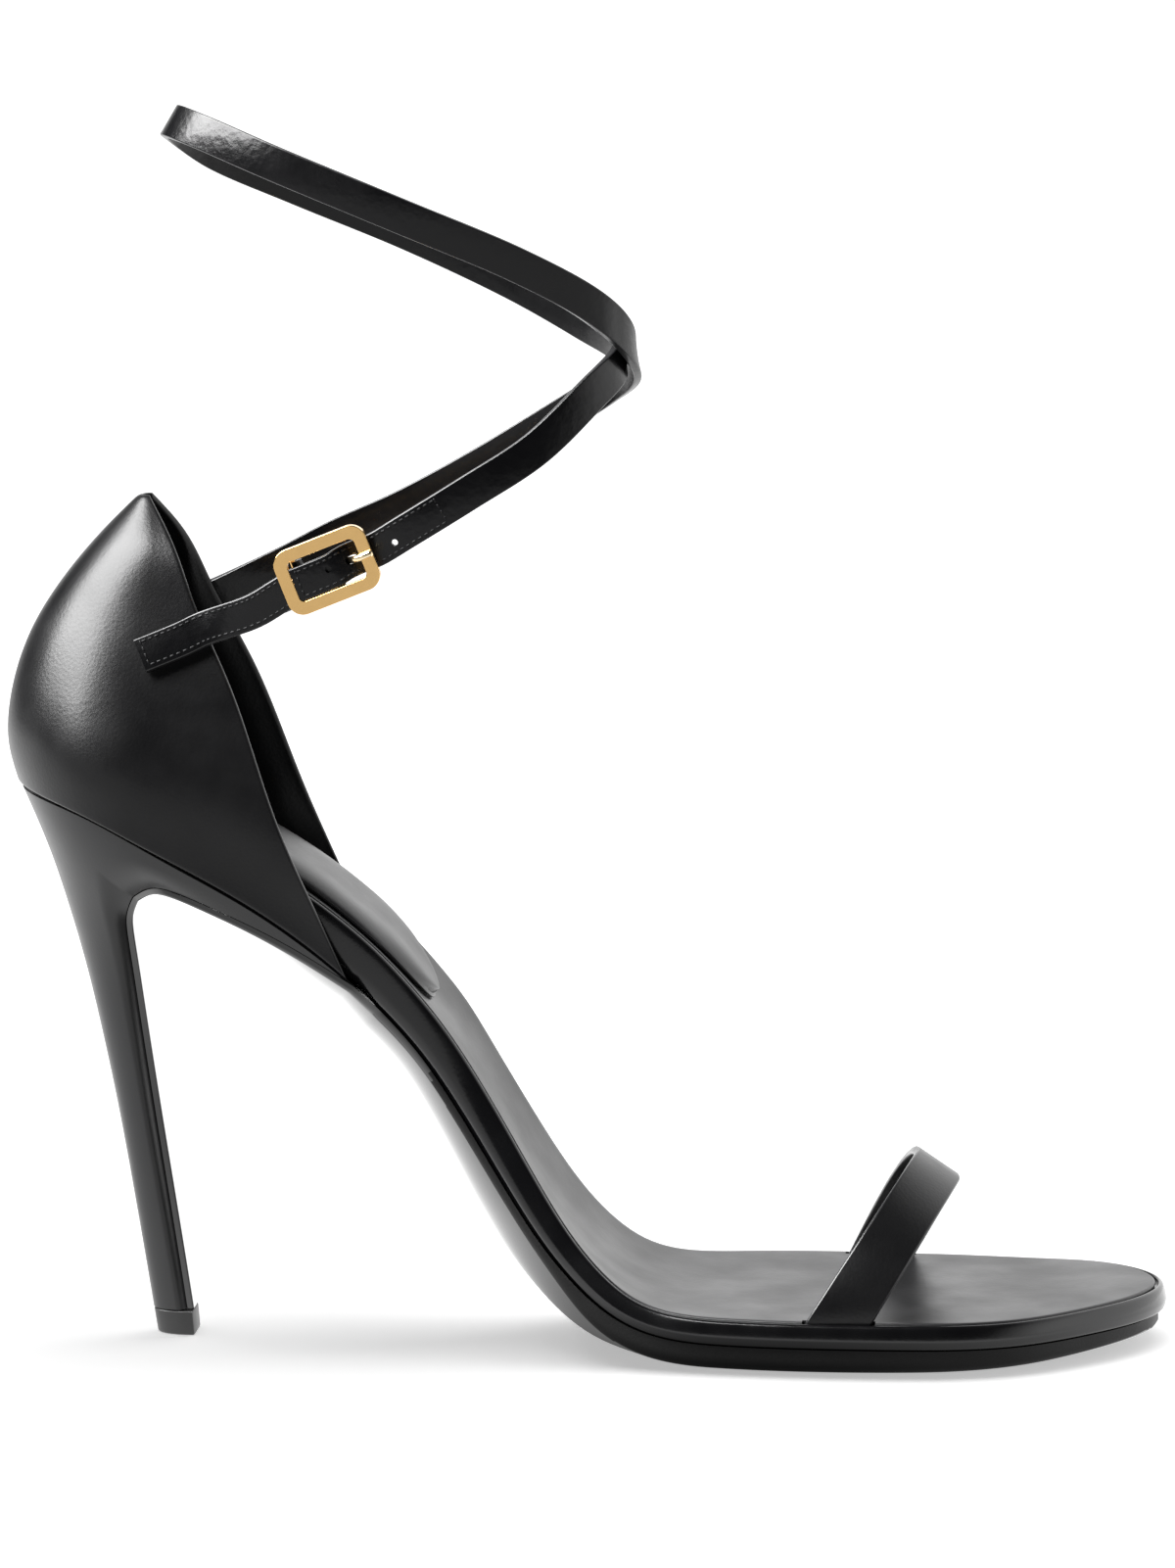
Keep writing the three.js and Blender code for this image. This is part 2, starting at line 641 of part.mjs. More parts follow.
function forefootSoleRing(along) {
  const at = station(along, SOLE_INSET);
  const top = (across) => boardUnderside(at, across) - GAP;
  const bottom = (across) => -at.board - GAP - bed.edge(along) * SOLE_THICKNESS
    - bed.sole_crown(along) * CROWN_DEPTH * (1 - across * across);
  const place = (across, height) => onStation(at, across, height);
  return soleRing(place, onBoardLines(at, UNDER_ACROSS), top, bottom);
}

function flapSoleRing(share) {
  const edge = flapLine(share);
  const inwards = breastNormal(share);
  const side = breastPoint(share);
  const half = heelWidth(side.x, side.z) * breastShare(share, 0);
  const crown = wedgeCrown(share);
  const place = (across, height) => {
    const point = edge.clone().addScaledVector(inwards, height);
    point.y = across * half;
    point.z = Math.max(point.z, LIFT_HEIGHT + GAP);
    return point;
  };
  const top = (across) => FLAP_THICKNESS - crown * (1 - across * across);
  const bottom = (across) => top(across) - FLAP_THICKNESS;
  return soleRing(place, [-0.7, -0.35, 0, 0.35, 0.7], top, bottom);
}

const WAIST_START = 0.335;
function outsole() {
  const first = (SOLE_INSET + 0.15) / BOARD_LENGTH;
  const front = bedLines(WAIST_START, 1 - first).reverse().map(forefootSoleRing);
  const flap = shares(HEEL_ROWS, 0).map((share) => flapSoleRing(1 - share));
  return ringSolid([...front, ...flap]);
}

// Closed back
// up: share from the seat to the peak. x: share of the board length, z: share of the counter's
// height over the seat, of its back and of its front edge. half: share of the seat width.
const COUNTER = [
  { up: 0.00, back_x: -0.1366, back_z: 0.004, front_x: 0.1666, front_z: -0.586, half: 0.560, deep: 0.136 },
  { up: 0.20, back_x: -0.1465, back_z: 0.140, front_x: 0.1338, front_z: -0.321, half: 0.583, deep: 0.130 },
  { up: 0.40, back_x: -0.1462, back_z: 0.285, front_x: 0.0981, front_z: 0.000, half: 0.564, deep: 0.124 },
  { up: 0.60, back_x: -0.1352, back_z: 0.460, front_x: 0.0629, front_z: 0.366, half: 0.470, deep: 0.110 },
  { up: 0.80, back_x: -0.1028, back_z: 0.690, front_x: 0.0239, front_z: 0.679, half: 0.352, deep: 0.086 },
  { up: 0.93, back_x: -0.0592, back_z: 0.889, front_x: 0.0005, front_z: 0.881, half: 0.214, deep: 0.046 },
  { up: 1.00, back_x: -0.0296, back_z: 1.000, front_x: -0.0207, front_z: 1.000, half: 0.055, deep: 0.010 },
];
const counter = {};
for (const name of ['back_x', 'back_z', 'front_x', 'front_z', 'half', 'deep']) {
  counter[name] = column(COUNTER, 'up', name);
}

const COUNTER_BACK = -(COUNTER_WALL + GAP + 0.1) / BOARD_LENGTH;
const COUNTER_FRONT = 0.307;

// Outside of the closed back. up: 0 at the seat, 1 at the peak. forward: 0 at the back, 1 at the
// front edge. sign: +1 on the foot's inner side, -1 on its outer side.
function counterOutside(up, forward, sign) {
  const foot = 1 - THREE.MathUtils.smoothstep(up, 0, 0.35);
  const advance = sign > 0 ? COUNTER_INNER_ADVANCE * forward * (1 - up) ** 2 : 0;
  const end = (x, z) => new THREE.Vector3(x * BOARD_LENGTH, 0, HEEL_HEIGHT + z * COUNTER_HEIGHT);
  const chord = (ratio) => ({
    back: end(counter.back_x(ratio), counter.back_z(ratio)),
    front: end(counter.front_x(ratio), counter.front_z(ratio)),
  });
  const level = chord(up);
  const point = level.back.clone().lerp(level.front, forward);
  const base = chord(0);
  const along = THREE.MathUtils.lerp(COUNTER_BACK, COUNTER_FRONT, forward);
  const sag = seatPoint(along).sub(base.back.lerp(base.front, forward));
  point.addScaledVector(sag, (1 - up) ** 2);
  point.x += advance * 0.45;
  point.z -= advance * 0.3;
  const lowWidth = sideWidth(along) + BOARD_BELLY + 1.4 * GAP + COUNTER_WALL;
  const full = THREE.MathUtils.lerp(counter.half(up) * SEAT_WIDTH, lowWidth, foot);
  const length = level.back.distanceTo(level.front);
  const past = forward * length;
  point.y = sign * full * roundEnd(past, Math.min(counter.deep(up) * BOARD_LENGTH, 0.8 * length));
  return point;
}

// Share forward for a column of the closed back's grid, crowded at the round back
const COUNTER_CROWDING = 1.75;
function counterForward(share) {
  return Math.abs(share) ** COUNTER_CROWDING;
}

function counterNormal(up, share) {
  const sign = share < 0 ? -1 : 1;
  const at = (u, s) => counterOutside(THREE.MathUtils.clamp(u, 0, 1), counterForward(s), s < 0 ? -1 : 1);
  const step = 0.01;
  const rise = at(up + step, share).sub(at(up - step, share));
  const round = at(up, Math.min(1, share + step)).sub(at(up, Math.max(-1, share - step)));
  const normal = round.cross(rise).normalize();
  return normal.dot(new THREE.Vector3(-1, sign, 0)) < 0 ? normal.negate() : normal;
}

function counterInside(up, share) {
  const thin = THREE.MathUtils.smoothstep(Math.max(up, Math.abs(share) ** 3), 0.75, 1);
  const wall = THREE.MathUtils.lerp(COUNTER_WALL, COUNTER_RIM, thin);
  const outside = counterOutside(up, counterForward(share), share < 0 ? -1 : 1);
  return outside.addScaledVector(counterNormal(up, share), -wall);
}

function closedBack() {
  const columns = shares(30, 0).map((share) => 2 * share - 1);
  const levels = shares(12, 0).map((share) => 1 - (1 - share) ** 1.15);
  const rings = columns.map((share) => [
    ...levels.map((up) => counterOutside(up, counterForward(share), share < 0 ? -1 : 1)),
    ...levels.map((up) => counterInside(up, share)).reverse(),
  ]);
  return ringSolid(rings);
}

// Straps
// A flat strap through stations of centre, width direction and face normal, with eased face edges
function strap(stations, thickness) {
  const corners = [[-0.5, -0.5], [-0.5, 0.25], [-0.46, 0.5], [0.46, 0.5], [0.5, 0.25], [0.5, -0.5]];
  return ringSolid(stations.map((at) => corners.map(([wide, thick]) => at.centre.clone()
    .addScaledVector(at.across, wide * at.width)
    .addScaledVector(at.face, thick * thickness))));
}

// Stations of even spacing along a smooth line through knots. A knot has a centre and either the
// normal of what it lies on or the lean of its width from upright, towards the toe.
function strapStations(knots, spacing, width, side) {
  const last = knots.length - 1;
  const turns = knots.map((knot, i) => {
    const [ahead, behind] = [knots[Math.min(i + 1, last)].centre, knots[Math.max(i - 1, 0)].centre];
    const run = ahead.clone().sub(behind).normalize();
    if (knot.face) {
      return knot.face.clone().cross(run).multiplyScalar(-side).normalize();
    }
    const upright = new THREE.Vector3(Math.sin(knot.lean), 0, Math.cos(knot.lean));
    return upright.addScaledVector(run, -upright.dot(run)).normalize();
  });
  const line = new THREE.CatmullRomCurve3(knots.map((knot) => knot.centre), false, 'centripetal');
  const widths = new THREE.CatmullRomCurve3(turns, false, 'catmullrom');
  line.arcLengthDivisions = 800;
  const count = Math.round(line.getLength() / spacing);
  return Array.from({ length: count + 1 }, (unused, i) => {
    const share = line.getUtoTmapping(i / count);
    const tangent = line.getTangent(share);
    const across = widths.getPoint(share);
    across.addScaledVector(tangent, -across.dot(tangent)).normalize();
    const face = across.clone().cross(tangent).multiplyScalar(side).normalize();
    return { centre: line.getPoint(share), face, across, width };
  });
}

// Toe strap: an arch over the toes that leans forward, its feet let into the board
function toeStrapBase() {
  const along = TOE_STRAP_AT / BOARD_LENGTH;
  const at = station(along);
  return {
    x: bedX(along),
    z: bedZ(along),
    middle: at.middle,
    half: at.half - TOE_STRAP_RIM - GAP - TOE_STRAP_THICKNESS / 2,
  };
}

const TOE_REAR_LEAN = 16.6;
const TOE_FRONT_LEAN = 12.2;
const TOE_REAR_LIFT = 1.12;
const TOE_FRONT_LIFT = 0.88;
function toeStrap() {
  const base = toeStrapBase();
  const edges = (turn, drop) => {
    const lift = Math.sin(turn);
    const y = base.middle - base.half * Math.cos(turn);
    const bow = TOE_STRAP_BOW * Math.min(0, Math.sin(2 * turn));
    const x = base.x - TOE_STRAP_SKEW * Math.cos(turn) + bow;
    const rear = new THREE.Vector3(x - TOE_STRAP_WIDTH / 2 + TOE_REAR_LEAN * lift, y,
      base.z + TOE_REAR_LIFT * TOE_STRAP_HEIGHT * lift - drop);
    const front = new THREE.Vector3(x + TOE_STRAP_WIDTH / 2 + TOE_FRONT_LEAN * lift, y,
      base.z + TOE_FRONT_LIFT * TOE_STRAP_HEIGHT * lift - drop);
    return { rear, front };
  };
  const rows = [
    edges(0, TOE_STRAP_DEPTH),
    ...shares(24, 0).map((share) => edges(Math.PI * share, 0)),
    edges(Math.PI, TOE_STRAP_DEPTH),
  ];
  const middles = rows.map((row) => row.rear.clone().lerp(row.front, 0.5));
  return strap(rows.map((row, i) => {
    const [ahead, behind] = [middles[Math.min(i + 1, rows.length - 1)], middles[Math.max(i - 1, 0)]];
    const tangent = ahead.clone().sub(behind).normalize();
    const across = row.front.clone().sub(row.rear);
    const width = across.length();
    across.normalize();
    return { centre: middles[i], across, face: tangent.cross(across).normalize(), width };
  }), TOE_STRAP_THICKNESS);
}

// Slots for the toe strap's feet; room widens them, and more than none opens them outwards too
const SLOT_HEIGHT = 10;
function strapSlots(room) {
  const base = toeStrapBase();
  const outwards = 4 * room;
  const length = TOE_STRAP_WIDTH + 2 * GAP + room;
  const thick = TOE_STRAP_THICKNESS + 2 * GAP;
  return [-1, 1].map((sign) => {
    const slot = new THREE.BoxGeometry(length, thick + outwards, SLOT_HEIGHT);
    const y = base.middle + sign * (base.half + outwards / 2);
    const z = base.z - TOE_STRAP_DEPTH - GAP + SLOT_HEIGHT / 2;
    return slot.translate(base.x + sign * TOE_STRAP_SKEW, y, z);
  });
}

// Buckle, held at its height over the heel by the closed back
const BUCKLE_RISE = 44.55;
const BUCKLE_AT = new THREE.Vector3(31.65, -25.1, HEEL_HEIGHT + BUCKLE_RISE);
const PIN_BACK = 6;
const PIN_DEPTH = 3.4;

// Point beside the buckle: along its length, inwards from its middle plane, up across its width
function byBuckle(along, inwards, up = 0) {
  return new THREE.Vector3(
    BUCKLE_AT.x + along * Math.cos(BUCKLE_TILT) - up * Math.sin(BUCKLE_TILT),
    BUCKLE_AT.y + inwards,
    BUCKLE_AT.z + along * Math.sin(BUCKLE_TILT) + up * Math.cos(BUCKLE_TILT),
  );
}

function roundedRectangle(path, length, height, radius) {
  const x = length / 2 - radius;
  const y = height / 2 - radius;
  path.absarc(x, y, radius, 0, Math.PI / 2, false);
  path.absarc(-x, y, radius, Math.PI / 2, Math.PI, false);
  path.absarc(-x, -y, radius, Math.PI, 1.5 * Math.PI, false);
  path.absarc(x, -y, radius, 1.5 * Math.PI, 2 * Math.PI, false);
  path.closePath();
  return path;
}

// The frame with the hidden hinge pin behind its rear bar, drawn flat and then stood up
const INNER_CORNER = 1.1;
const LUG_THICKNESS = 1.1;
const BEVEL = 0.35;
function buckleFrame() {
  const shape = roundedRectangle(new THREE.Shape(), BUCKLE_LENGTH - 2 * BEVEL, BUCKLE_HEIGHT - 2 * BEVEL,
    BUCKLE_CORNER - BEVEL);
  const inner = { length: BUCKLE_LENGTH - 2 * BUCKLE_BAR, height: BUCKLE_HEIGHT - 2 * BUCKLE_BAR };
  shape.holes.push(roundedRectangle(new THREE.Path(), inner.length + 2 * BEVEL, inner.height + 2 * BEVEL,
    INNER_CORNER + BEVEL));
  const ring = new THREE.ExtrudeGeometry(shape, {
    depth: BUCKLE_THICKNESS - 2 * BEVEL,
    bevelThickness: BEVEL,
    bevelSize: BEVEL,
    bevelSegments: 1,
    curveSegments: 4,
  });
  ring.translate(0, 0, -BUCKLE_THICKNESS / 2 + BEVEL);
  const lugHeight = (BUCKLE_HEIGHT - STRAP_WIDTH) / 2 - GAP - 1.1;
  const reach = PIN_DEPTH + PIN_DIAMETER / 2 + 0.3;
  const lugs = [-1, 1].map((sign) => new THREE.BoxGeometry(PIN_DIAMETER + LUG_THICKNESS, lugHeight, reach)
    .translate(-PIN_BACK - 0.3, sign * (BUCKLE_HEIGHT - lugHeight - 0.8) / 2, -reach / 2));
  const pin = new THREE.CylinderGeometry(PIN_DIAMETER / 2, PIN_DIAMETER / 2, BUCKLE_HEIGHT - 1.8, 12)
    .translate(-PIN_BACK, 0, -PIN_DEPTH);
  return join([ring, ...lugs, pin]);
}

// Prong: curled round the pin, behind the strap, up through its slot and over the front bar
const PRONG_CURL = PIN_DIAMETER / 2 + GAP + PRONG_DIAMETER / 2;
const PRONG_HOLE = HOLE_START + 0.7 * HOLE_SPACING;
function prongPath() {
  const around = [-40, -80, -120, -160, -200, -240, -280].map((degrees) => {
    const turn = THREE.MathUtils.degToRad(degrees);
    return [PRONG_CURL * Math.cos(turn) - PIN_BACK, PRONG_CURL * Math.sin(turn) + PIN_DEPTH];
  });
  const over = -BUCKLE_THICKNESS / 2 - GAP - PRONG_DIAMETER / 2;
  return [
    ...around,
    [PRONG_CURL * 1.6 - PIN_BACK, PIN_DEPTH + 0.5],
    [-1, PIN_DEPTH - 0.1],
    [PRONG_HOLE - 2.4, PIN_DEPTH - 0.3],
    [PRONG_HOLE - 0.9, 2.2],
    [PRONG_HOLE, 0.5],
    [PRONG_HOLE + 0.7, -1.1],
    [BUCKLE_LENGTH / 2 - BUCKLE_BAR + 0.2, over],
    [BUCKLE_LENGTH / 2 + 0.3, over],
  ];
}

function buckleProng() {
  const path = new THREE.CatmullRomCurve3(
    prongPath().map(([along, inwards]) => byBuckle(along, inwards)), false, 'centripetal');
  const round = new THREE.Shape();
  round.absarc(0, 0, PRONG_DIAMETER / 2, 0, 2 * Math.PI, false);
  return new THREE.ExtrudeGeometry(round, {
    steps: 34,
    extrudePath: path,
    curveSegments: 4,
    bevelEnabled: false,
  });
}

// Where the straps lie on the closed back: up and forward, as the closed back's outside counts them
const OUTER_SEAM = [
  { up: 0.6475, forward: 0.605 },
  { up: 0.6975, forward: 0.840 },
  { up: 0.7275, forward: 0.995 },
];
const INNER_SEAM = [
  { up: 0.6825, forward: 0.595 },
  { up: 0.7200, forward: 0.755 },
  { up: 0.7500, forward: 0.950 },
];
const SEAM_GAP = 1.5 * GAP;

function seamKnots(rows, sign, thickness) {
  return rows.map((row) => {
    const face = counterNormal(row.up, sign * row.forward ** (1 / COUNTER_CROWDING));
    const centre = counterOutside(row.up, row.forward, sign).addScaledVector(face, SEAM_GAP + thickness / 2);
    return { centre, face };
  });
}

// Buckle strap: stitched to the outside of the closed back, ending in an eye round the pin
const EYE_WALL = 0.9;
const EYE_SLOT = 8;
function buckleStrap() {
  const eye = PIN_DIAMETER / 2 + GAP;
  const knots = [
    ...seamKnots(OUTER_SEAM, -1, BUCKLE_STRAP_THICKNESS),
    { centre: byBuckle(-16.5, PIN_DEPTH + 1.5, -2.1), lean: -BUCKLE_TILT },
    { centre: byBuckle(-11, PIN_DEPTH + 0.4, -1.1), lean: -BUCKLE_TILT },
    { centre: byBuckle(-PIN_BACK - eye, PIN_DEPTH, -0.4), lean: -BUCKLE_TILT },
  ];
  const body = strap(strapStations(knots, 3.2, STRAP_WIDTH, -1), BUCKLE_STRAP_THICKNESS);
  const outer = eye + EYE_WALL;
  const slotBack = PRONG_CURL + PRONG_DIAMETER / 2 + GAP;
  const pin = byBuckle(-PIN_BACK, PIN_DEPTH);
  const standing = (geometry) => geometry.rotateY(-BUCKLE_TILT).translate(pin.x, pin.y, pin.z);
  const bulb = standing(new THREE.CylinderGeometry(outer, outer, STRAP_WIDTH, 16).rotateX(Math.PI / 2));
  const bore = standing(new THREE.CylinderGeometry(eye, eye, 2 * STRAP_WIDTH, 12).rotateX(Math.PI / 2));
  const opening = new THREE.BoxGeometry(EYE_SLOT, EYE_SLOT, PRONG_DIAMETER + 2 * GAP);
  const slot = standing(opening.translate(EYE_SLOT / 2 - slotBack, 0, 0));
  return cut(join([body, bulb]), [bore, slot]);
}

// Ankle strap
// turn: degrees round the ankle from its front, positive on the inner side. climb: share of the
// rise over the buckle. out: how far outside the loop's middle line, in strap thicknesses.
// lean: degrees that the strap's width leans towards the toe.
const WRAP = [
  { turn: 124, climb: -0.050, out: 0.00, lean: -26 },
  { turn: 110, climb: 0.008, out: 0.00, lean: -27 },
  { turn: 93, climb: 0.076, out: 0.00, lean: -27 },
  { turn: 74, climb: 0.170, out: 0.00, lean: -27 },
  { turn: 52, climb: 0.281, out: 0.15, lean: -24 },
  { turn: 30, climb: 0.372, out: 0.50, lean: -17 },
  { turn: 8, climb: 0.436, out: 0.70, lean: -11 },
  { turn: -12, climb: 0.510, out: 0.70, lean: -4 },
  { turn: -32, climb: 0.594, out: 0.40, lean: 8 },
  { turn: -56, climb: 0.688, out: 0.00, lean: 19 },
  { turn: -87, climb: 0.803, out: 0.00, lean: 24 },
  { turn: -120, climb: 0.916, out: 0.00, lean: 25 },
  { turn: -145, climb: 0.977, out: 0.00, lean: 28 },
  { turn: -168, climb: 0.996, out: 0.00, lean: 31 },
  { turn: -190, climb: 0.976, out: 0.00, lean: 30 },
  { turn: -213, climb: 0.908, out: 0.00, lean: 27 },
  { turn: -240, climb: 0.822, out: 0.00, lean: 25 },
  { turn: -270, climb: 0.712, out: 0.00, lean: 23 },
  { turn: -298, climb: 0.602, out: 0.00, lean: 17 },
  { turn: -322, climb: 0.522, out: -0.40, lean: 7 },
  { turn: -345, climb: 0.480, out: -0.70, lean: -4 },
  { turn: -368, climb: 0.447, out: -0.70, lean: -11 },
  { turn: -390, climb: 0.384, out: -0.40, lean: -20 },
  { turn: -411, climb: 0.268, out: -0.10, lean: -25 },
  { turn: -430, climb: 0.172, out: 0.00, lean: -25 },
  { turn: -446, climb: 0.084, out: 0.00, lean: -24 },
];

function wrapKnot(row) {
  const turn = THREE.MathUtils.degToRad(row.turn);
  const away = new THREE.Vector3(Math.cos(turn) / ANKLE_LENGTH, Math.sin(turn) / ANKLE_WIDTH, 0).normalize();
  const centre = new THREE.Vector3(
    ANKLE_AT + ANKLE_LENGTH / 2 * Math.cos(turn),
    ANKLE_WIDTH / 2 * Math.sin(turn),
    BUCKLE_AT.z + row.climb * ANKLE_RISE,
  );
  return {
    centre: centre.addScaledVector(away, row.out * STRAP_THICKNESS),
    lean: THREE.MathUtils.degToRad(row.lean),
  };
}

function ankleStrapKnots() {
  const behindBar = BUCKLE_THICKNESS / 2 + 2 * GAP + STRAP_THICKNESS / 2;
  const behind = [[9.6, behindBar], [7, behindBar]];
  const tuck = [...behind, [5.4, 1.9], [3.2, 0.9], [1, 0.3], [-2.5, 0.2], [-6.1, 0.2]];
  return [
    ...seamKnots(INNER_SEAM, 1, STRAP_THICKNESS),
    ...WRAP.map(wrapKnot),
    ...tuck.map(([along, inwards]) => ({ centre: byBuckle(along, inwards), lean: -BUCKLE_TILT })),
  ];
}

function ankleStrap() {
  const body = strap(strapStations(ankleStrapKnots(), 5, STRAP_WIDTH, 1), STRAP_THICKNESS);
  const holes = [
    { along: HOLE_START, length: 0 },
    { along: PRONG_HOLE, length: 3.8 },
    { along: HOLE_START + 2 * HOLE_SPACING, length: 0 },
  ].map((hole) => {
    const outline = new THREE.Shape();
    const radius = hole.length > 0 ? PRONG_DIAMETER / 2 + 1.2 * GAP : HOLE_DIAMETER / 2;
    const reach = Math.max(0, hole.length / 2 - radius);
    outline.absarc(reach, 0, radius, -Math.PI / 2, Math.PI / 2, false);
    outline.absarc(-reach, 0, radius, Math.PI / 2, 1.5 * Math.PI, false);
    return new THREE.ExtrudeGeometry(outline, { depth: 8, bevelEnabled: false, curveSegments: 6 })
      .translate(0, 0, -4)
      .rotateX(Math.PI / 2)
      .rotateY(-BUCKLE_TILT)
      .translate(...byBuckle(hole.along, 0).toArray());
  });
  return cut(body, holes);
}

// The sandal
const sandal = new THREE.Group();
sandal.add(piece('outsole', outsole(), GLOSS_LEATHER));
sandal.add(piece('insole_board', insoleBoard(), GLOSS_LEATHER));
sandal.add(piece('sock_lining', sockLining(), LINING_LEATHER));
sandal.add(piece('heel_pad', heelPad(), LINING_LEATHER));
sandal.add(piece('heel', heel(), BLACK_LEATHER));
sandal.add(piece('top_lift', topLift(), HARD_TIP));
sandal.add(piece('counter', closedBack(), BLACK_LEATHER));
sandal.add(piece('toe_strap', toeStrap(), BLACK_LEATHER));
sandal.add(piece('buckle_strap', buckleStrap(), BLACK_LEATHER));
sandal.add(piece('ankle_strap', ankleStrap(), BLACK_LEATHER));
const frame = piece('buckle_frame', buckleFrame(), GOLD);
frame.rotation.set(Math.PI / 2, -BUCKLE_TILT, 0, 'YXZ');
frame.position.copy(BUCKLE_AT);
sandal.add(frame);
sandal.add(piece('buckle_prong', buckleProng(), GOLD));

export default sandal;
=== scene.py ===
import bmesh
import bpy
import numpy as np
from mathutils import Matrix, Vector


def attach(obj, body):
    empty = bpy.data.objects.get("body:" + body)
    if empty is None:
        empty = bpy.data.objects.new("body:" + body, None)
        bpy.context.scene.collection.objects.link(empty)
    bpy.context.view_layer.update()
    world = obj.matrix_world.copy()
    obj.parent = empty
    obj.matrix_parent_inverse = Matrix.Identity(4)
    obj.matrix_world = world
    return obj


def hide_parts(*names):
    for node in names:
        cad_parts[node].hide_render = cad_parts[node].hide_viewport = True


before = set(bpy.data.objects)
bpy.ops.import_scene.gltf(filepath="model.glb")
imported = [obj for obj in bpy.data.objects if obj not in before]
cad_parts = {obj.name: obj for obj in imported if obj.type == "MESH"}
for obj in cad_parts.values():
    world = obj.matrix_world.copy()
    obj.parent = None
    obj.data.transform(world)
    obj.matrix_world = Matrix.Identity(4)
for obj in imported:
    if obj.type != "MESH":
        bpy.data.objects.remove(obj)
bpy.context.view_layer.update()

# Insole board
# The fibre board with a steel shank that carries the foot, wrapped in glossy black calf. The wrap
# rolls over the upper rim, bellies a little down the side and is glued under the board.
BOARD_LENGTH = 213.0
HEEL_SET = 25.4
HEEL_HEIGHT = 105.0
BALL_WIDTH = 74.0
SEAT_WIDTH = 42.0
GAP = 0.3
BOARD_THICKNESS = 4.6
BOARD_BELLY = 0.3
BOARD_ROLL = 1.1
SOLE_THICKNESS = 4.4
CROWN_DEPTH = 8.0
DISH_DEPTH = 2.2
RECESS = 0.9
TOE_ROUND = 0.21 * BOARD_LENGTH
HEEL_ROUND = 0.125 * BOARD_LENGTH
FORE_TOP = SOLE_THICKNESS + GAP + BOARD_THICKNESS + 0.8
SEAT_TOP = HEEL_HEIGHT + 7.9
SEAT_HALF = 0.284
SEAT_UNTIL = 0.33
BALL_FROM = 0.55
SHARP_ANGLE = 35

# Shares of the board's length, of its climb from forefoot to seat, and of the ball's width
BED = {
    "along": [0.000, 0.058, 0.138, 0.186, 0.232, 0.274, 0.312, 0.345, 0.373, 0.401, 0.429, 0.455,
              0.478, 0.503, 0.528, 0.554, 0.584, 0.622, 0.706, 0.824, 0.885, 0.940, 1.000],
    "rise": [1.000, 0.964, 0.885, 0.832, 0.775, 0.712, 0.643, 0.568, 0.493, 0.404, 0.308, 0.219,
             0.148, 0.087, 0.043, 0.017, 0.005, 0.001, 0.000, 0.000, 0.001, 0.004, 0.008],
    "middle": [0.000, 0.000, 0.000, 0.000, 0.001, 0.003, 0.006, 0.010, 0.012, -0.005, -0.018,
               -0.025, -0.027, -0.026, -0.018, -0.005, 0.006, 0.016, 0.014, 0.009, 0.032, 0.078,
               0.101],
    "half": [0.282, 0.283, 0.288, 0.288, 0.284, 0.278, 0.273, 0.270, 0.270, 0.259, 0.266, 0.288,
             0.317, 0.351, 0.389, 0.426, 0.458, 0.484, 0.503, 0.489, 0.482, 0.472, 0.453],
}

# Shares of the board's thickness, the sole's thickness, the crowns' depth and the dish's depth
LAYERS = {
    "along": [0.000, 0.200, 0.274, 0.312, 0.373, 0.429, 0.465, 0.490, 0.528, 0.560, 0.610, 0.720,
              0.840, 1.000],
    "board": [1.65, 1.65, 1.65, 1.60, 1.38, 1.24, 1.15, 1.08, 1.02, 1.00, 1.00, 1.00, 1.00, 1.00],
    "edge": [0.38, 0.38, 0.40, 0.40, 0.34, 0.32, 0.30, 0.38, 0.75, 0.95, 1.01, 1.00, 0.90, 0.57],
    "board_crown": [0.04, 0.08, 0.25, 0.40, 0.52, 0.55, 0.54, 0.47, 0.28, 0.11, 0.04, 0.04, 0.04,
                    0.04],
    "sole_crown": [0.10, 0.40, 0.66, 0.80, 0.79, 0.90, 1.02, 1.00, 0.78, 0.42, 0.17, 0.13, 0.12,
                   0.08],
    "dish": [0.30, 0.45, 0.60, 0.80, 1.00, 1.00, 0.95, 0.85, 0.60, 0.35, 0.20, 0.15, 0.12, 0.05],
}


def spline(x, y):
    """Natural cubic spline through rows of y: between two knots the straight line plus a cubic
    whose bend runs evenly from one knot's to the next, the bends found from the equations that
    make the slopes meet. Past its ends it goes on straight."""
    x, y = np.asarray(x, float), np.asarray(y, float)
    rows = y.reshape(len(x), -1)
    step = np.diff(x)
    rise = np.diff(rows, axis=0) / step[:, None]
    beside = np.diag(step[1:-1], 1) + np.diag(step[1:-1], -1)
    bend = np.zeros_like(rows)
    own = np.diag(2 * (step[:-1] + step[1:]))
    bend[1:-1] = np.linalg.solve(own + beside, 6 * np.diff(rise, axis=0))

    def level(value):
        value = np.asarray(value, float)
        inside = np.clip(value, x[0], x[-1])
        i = np.clip(np.searchsorted(x, inside) - 1, 0, len(x) - 2)
        size = step[i][..., None]
        b = (inside - x[i])[..., None] / size
        a = 1 - b
        curve = a * rows[i] + b * rows[i + 1]
        curve += ((a**3 - a) * bend[i] + (b**3 - b) * bend[i + 1]) * size**2 / 6
        slope = rise[i] + ((1 - 3 * a**2) * bend[i] + (3 * b**2 - 1) * bend[i + 1]) * size / 6
        return (curve + slope * (value - inside)[..., None]).reshape(value.shape + y.shape[1:])

    return level


def smooth(value, low, high):
    """0 up to low, 1 from high on, and 3 s^2 - 2 s^3 of the share between them."""
    share = np.clip((value - low) / (high - low), 0, 1)
    return share**2 * (3 - 2 * share)


def round_end(distance, depth):
    """Quarter ellipse: 0 at the end itself, sqrt(1 - u^2) up to a depth, and 1 past it."""
    return np.sqrt(1 - np.clip(1 - distance / depth, 0, 1) ** 2)


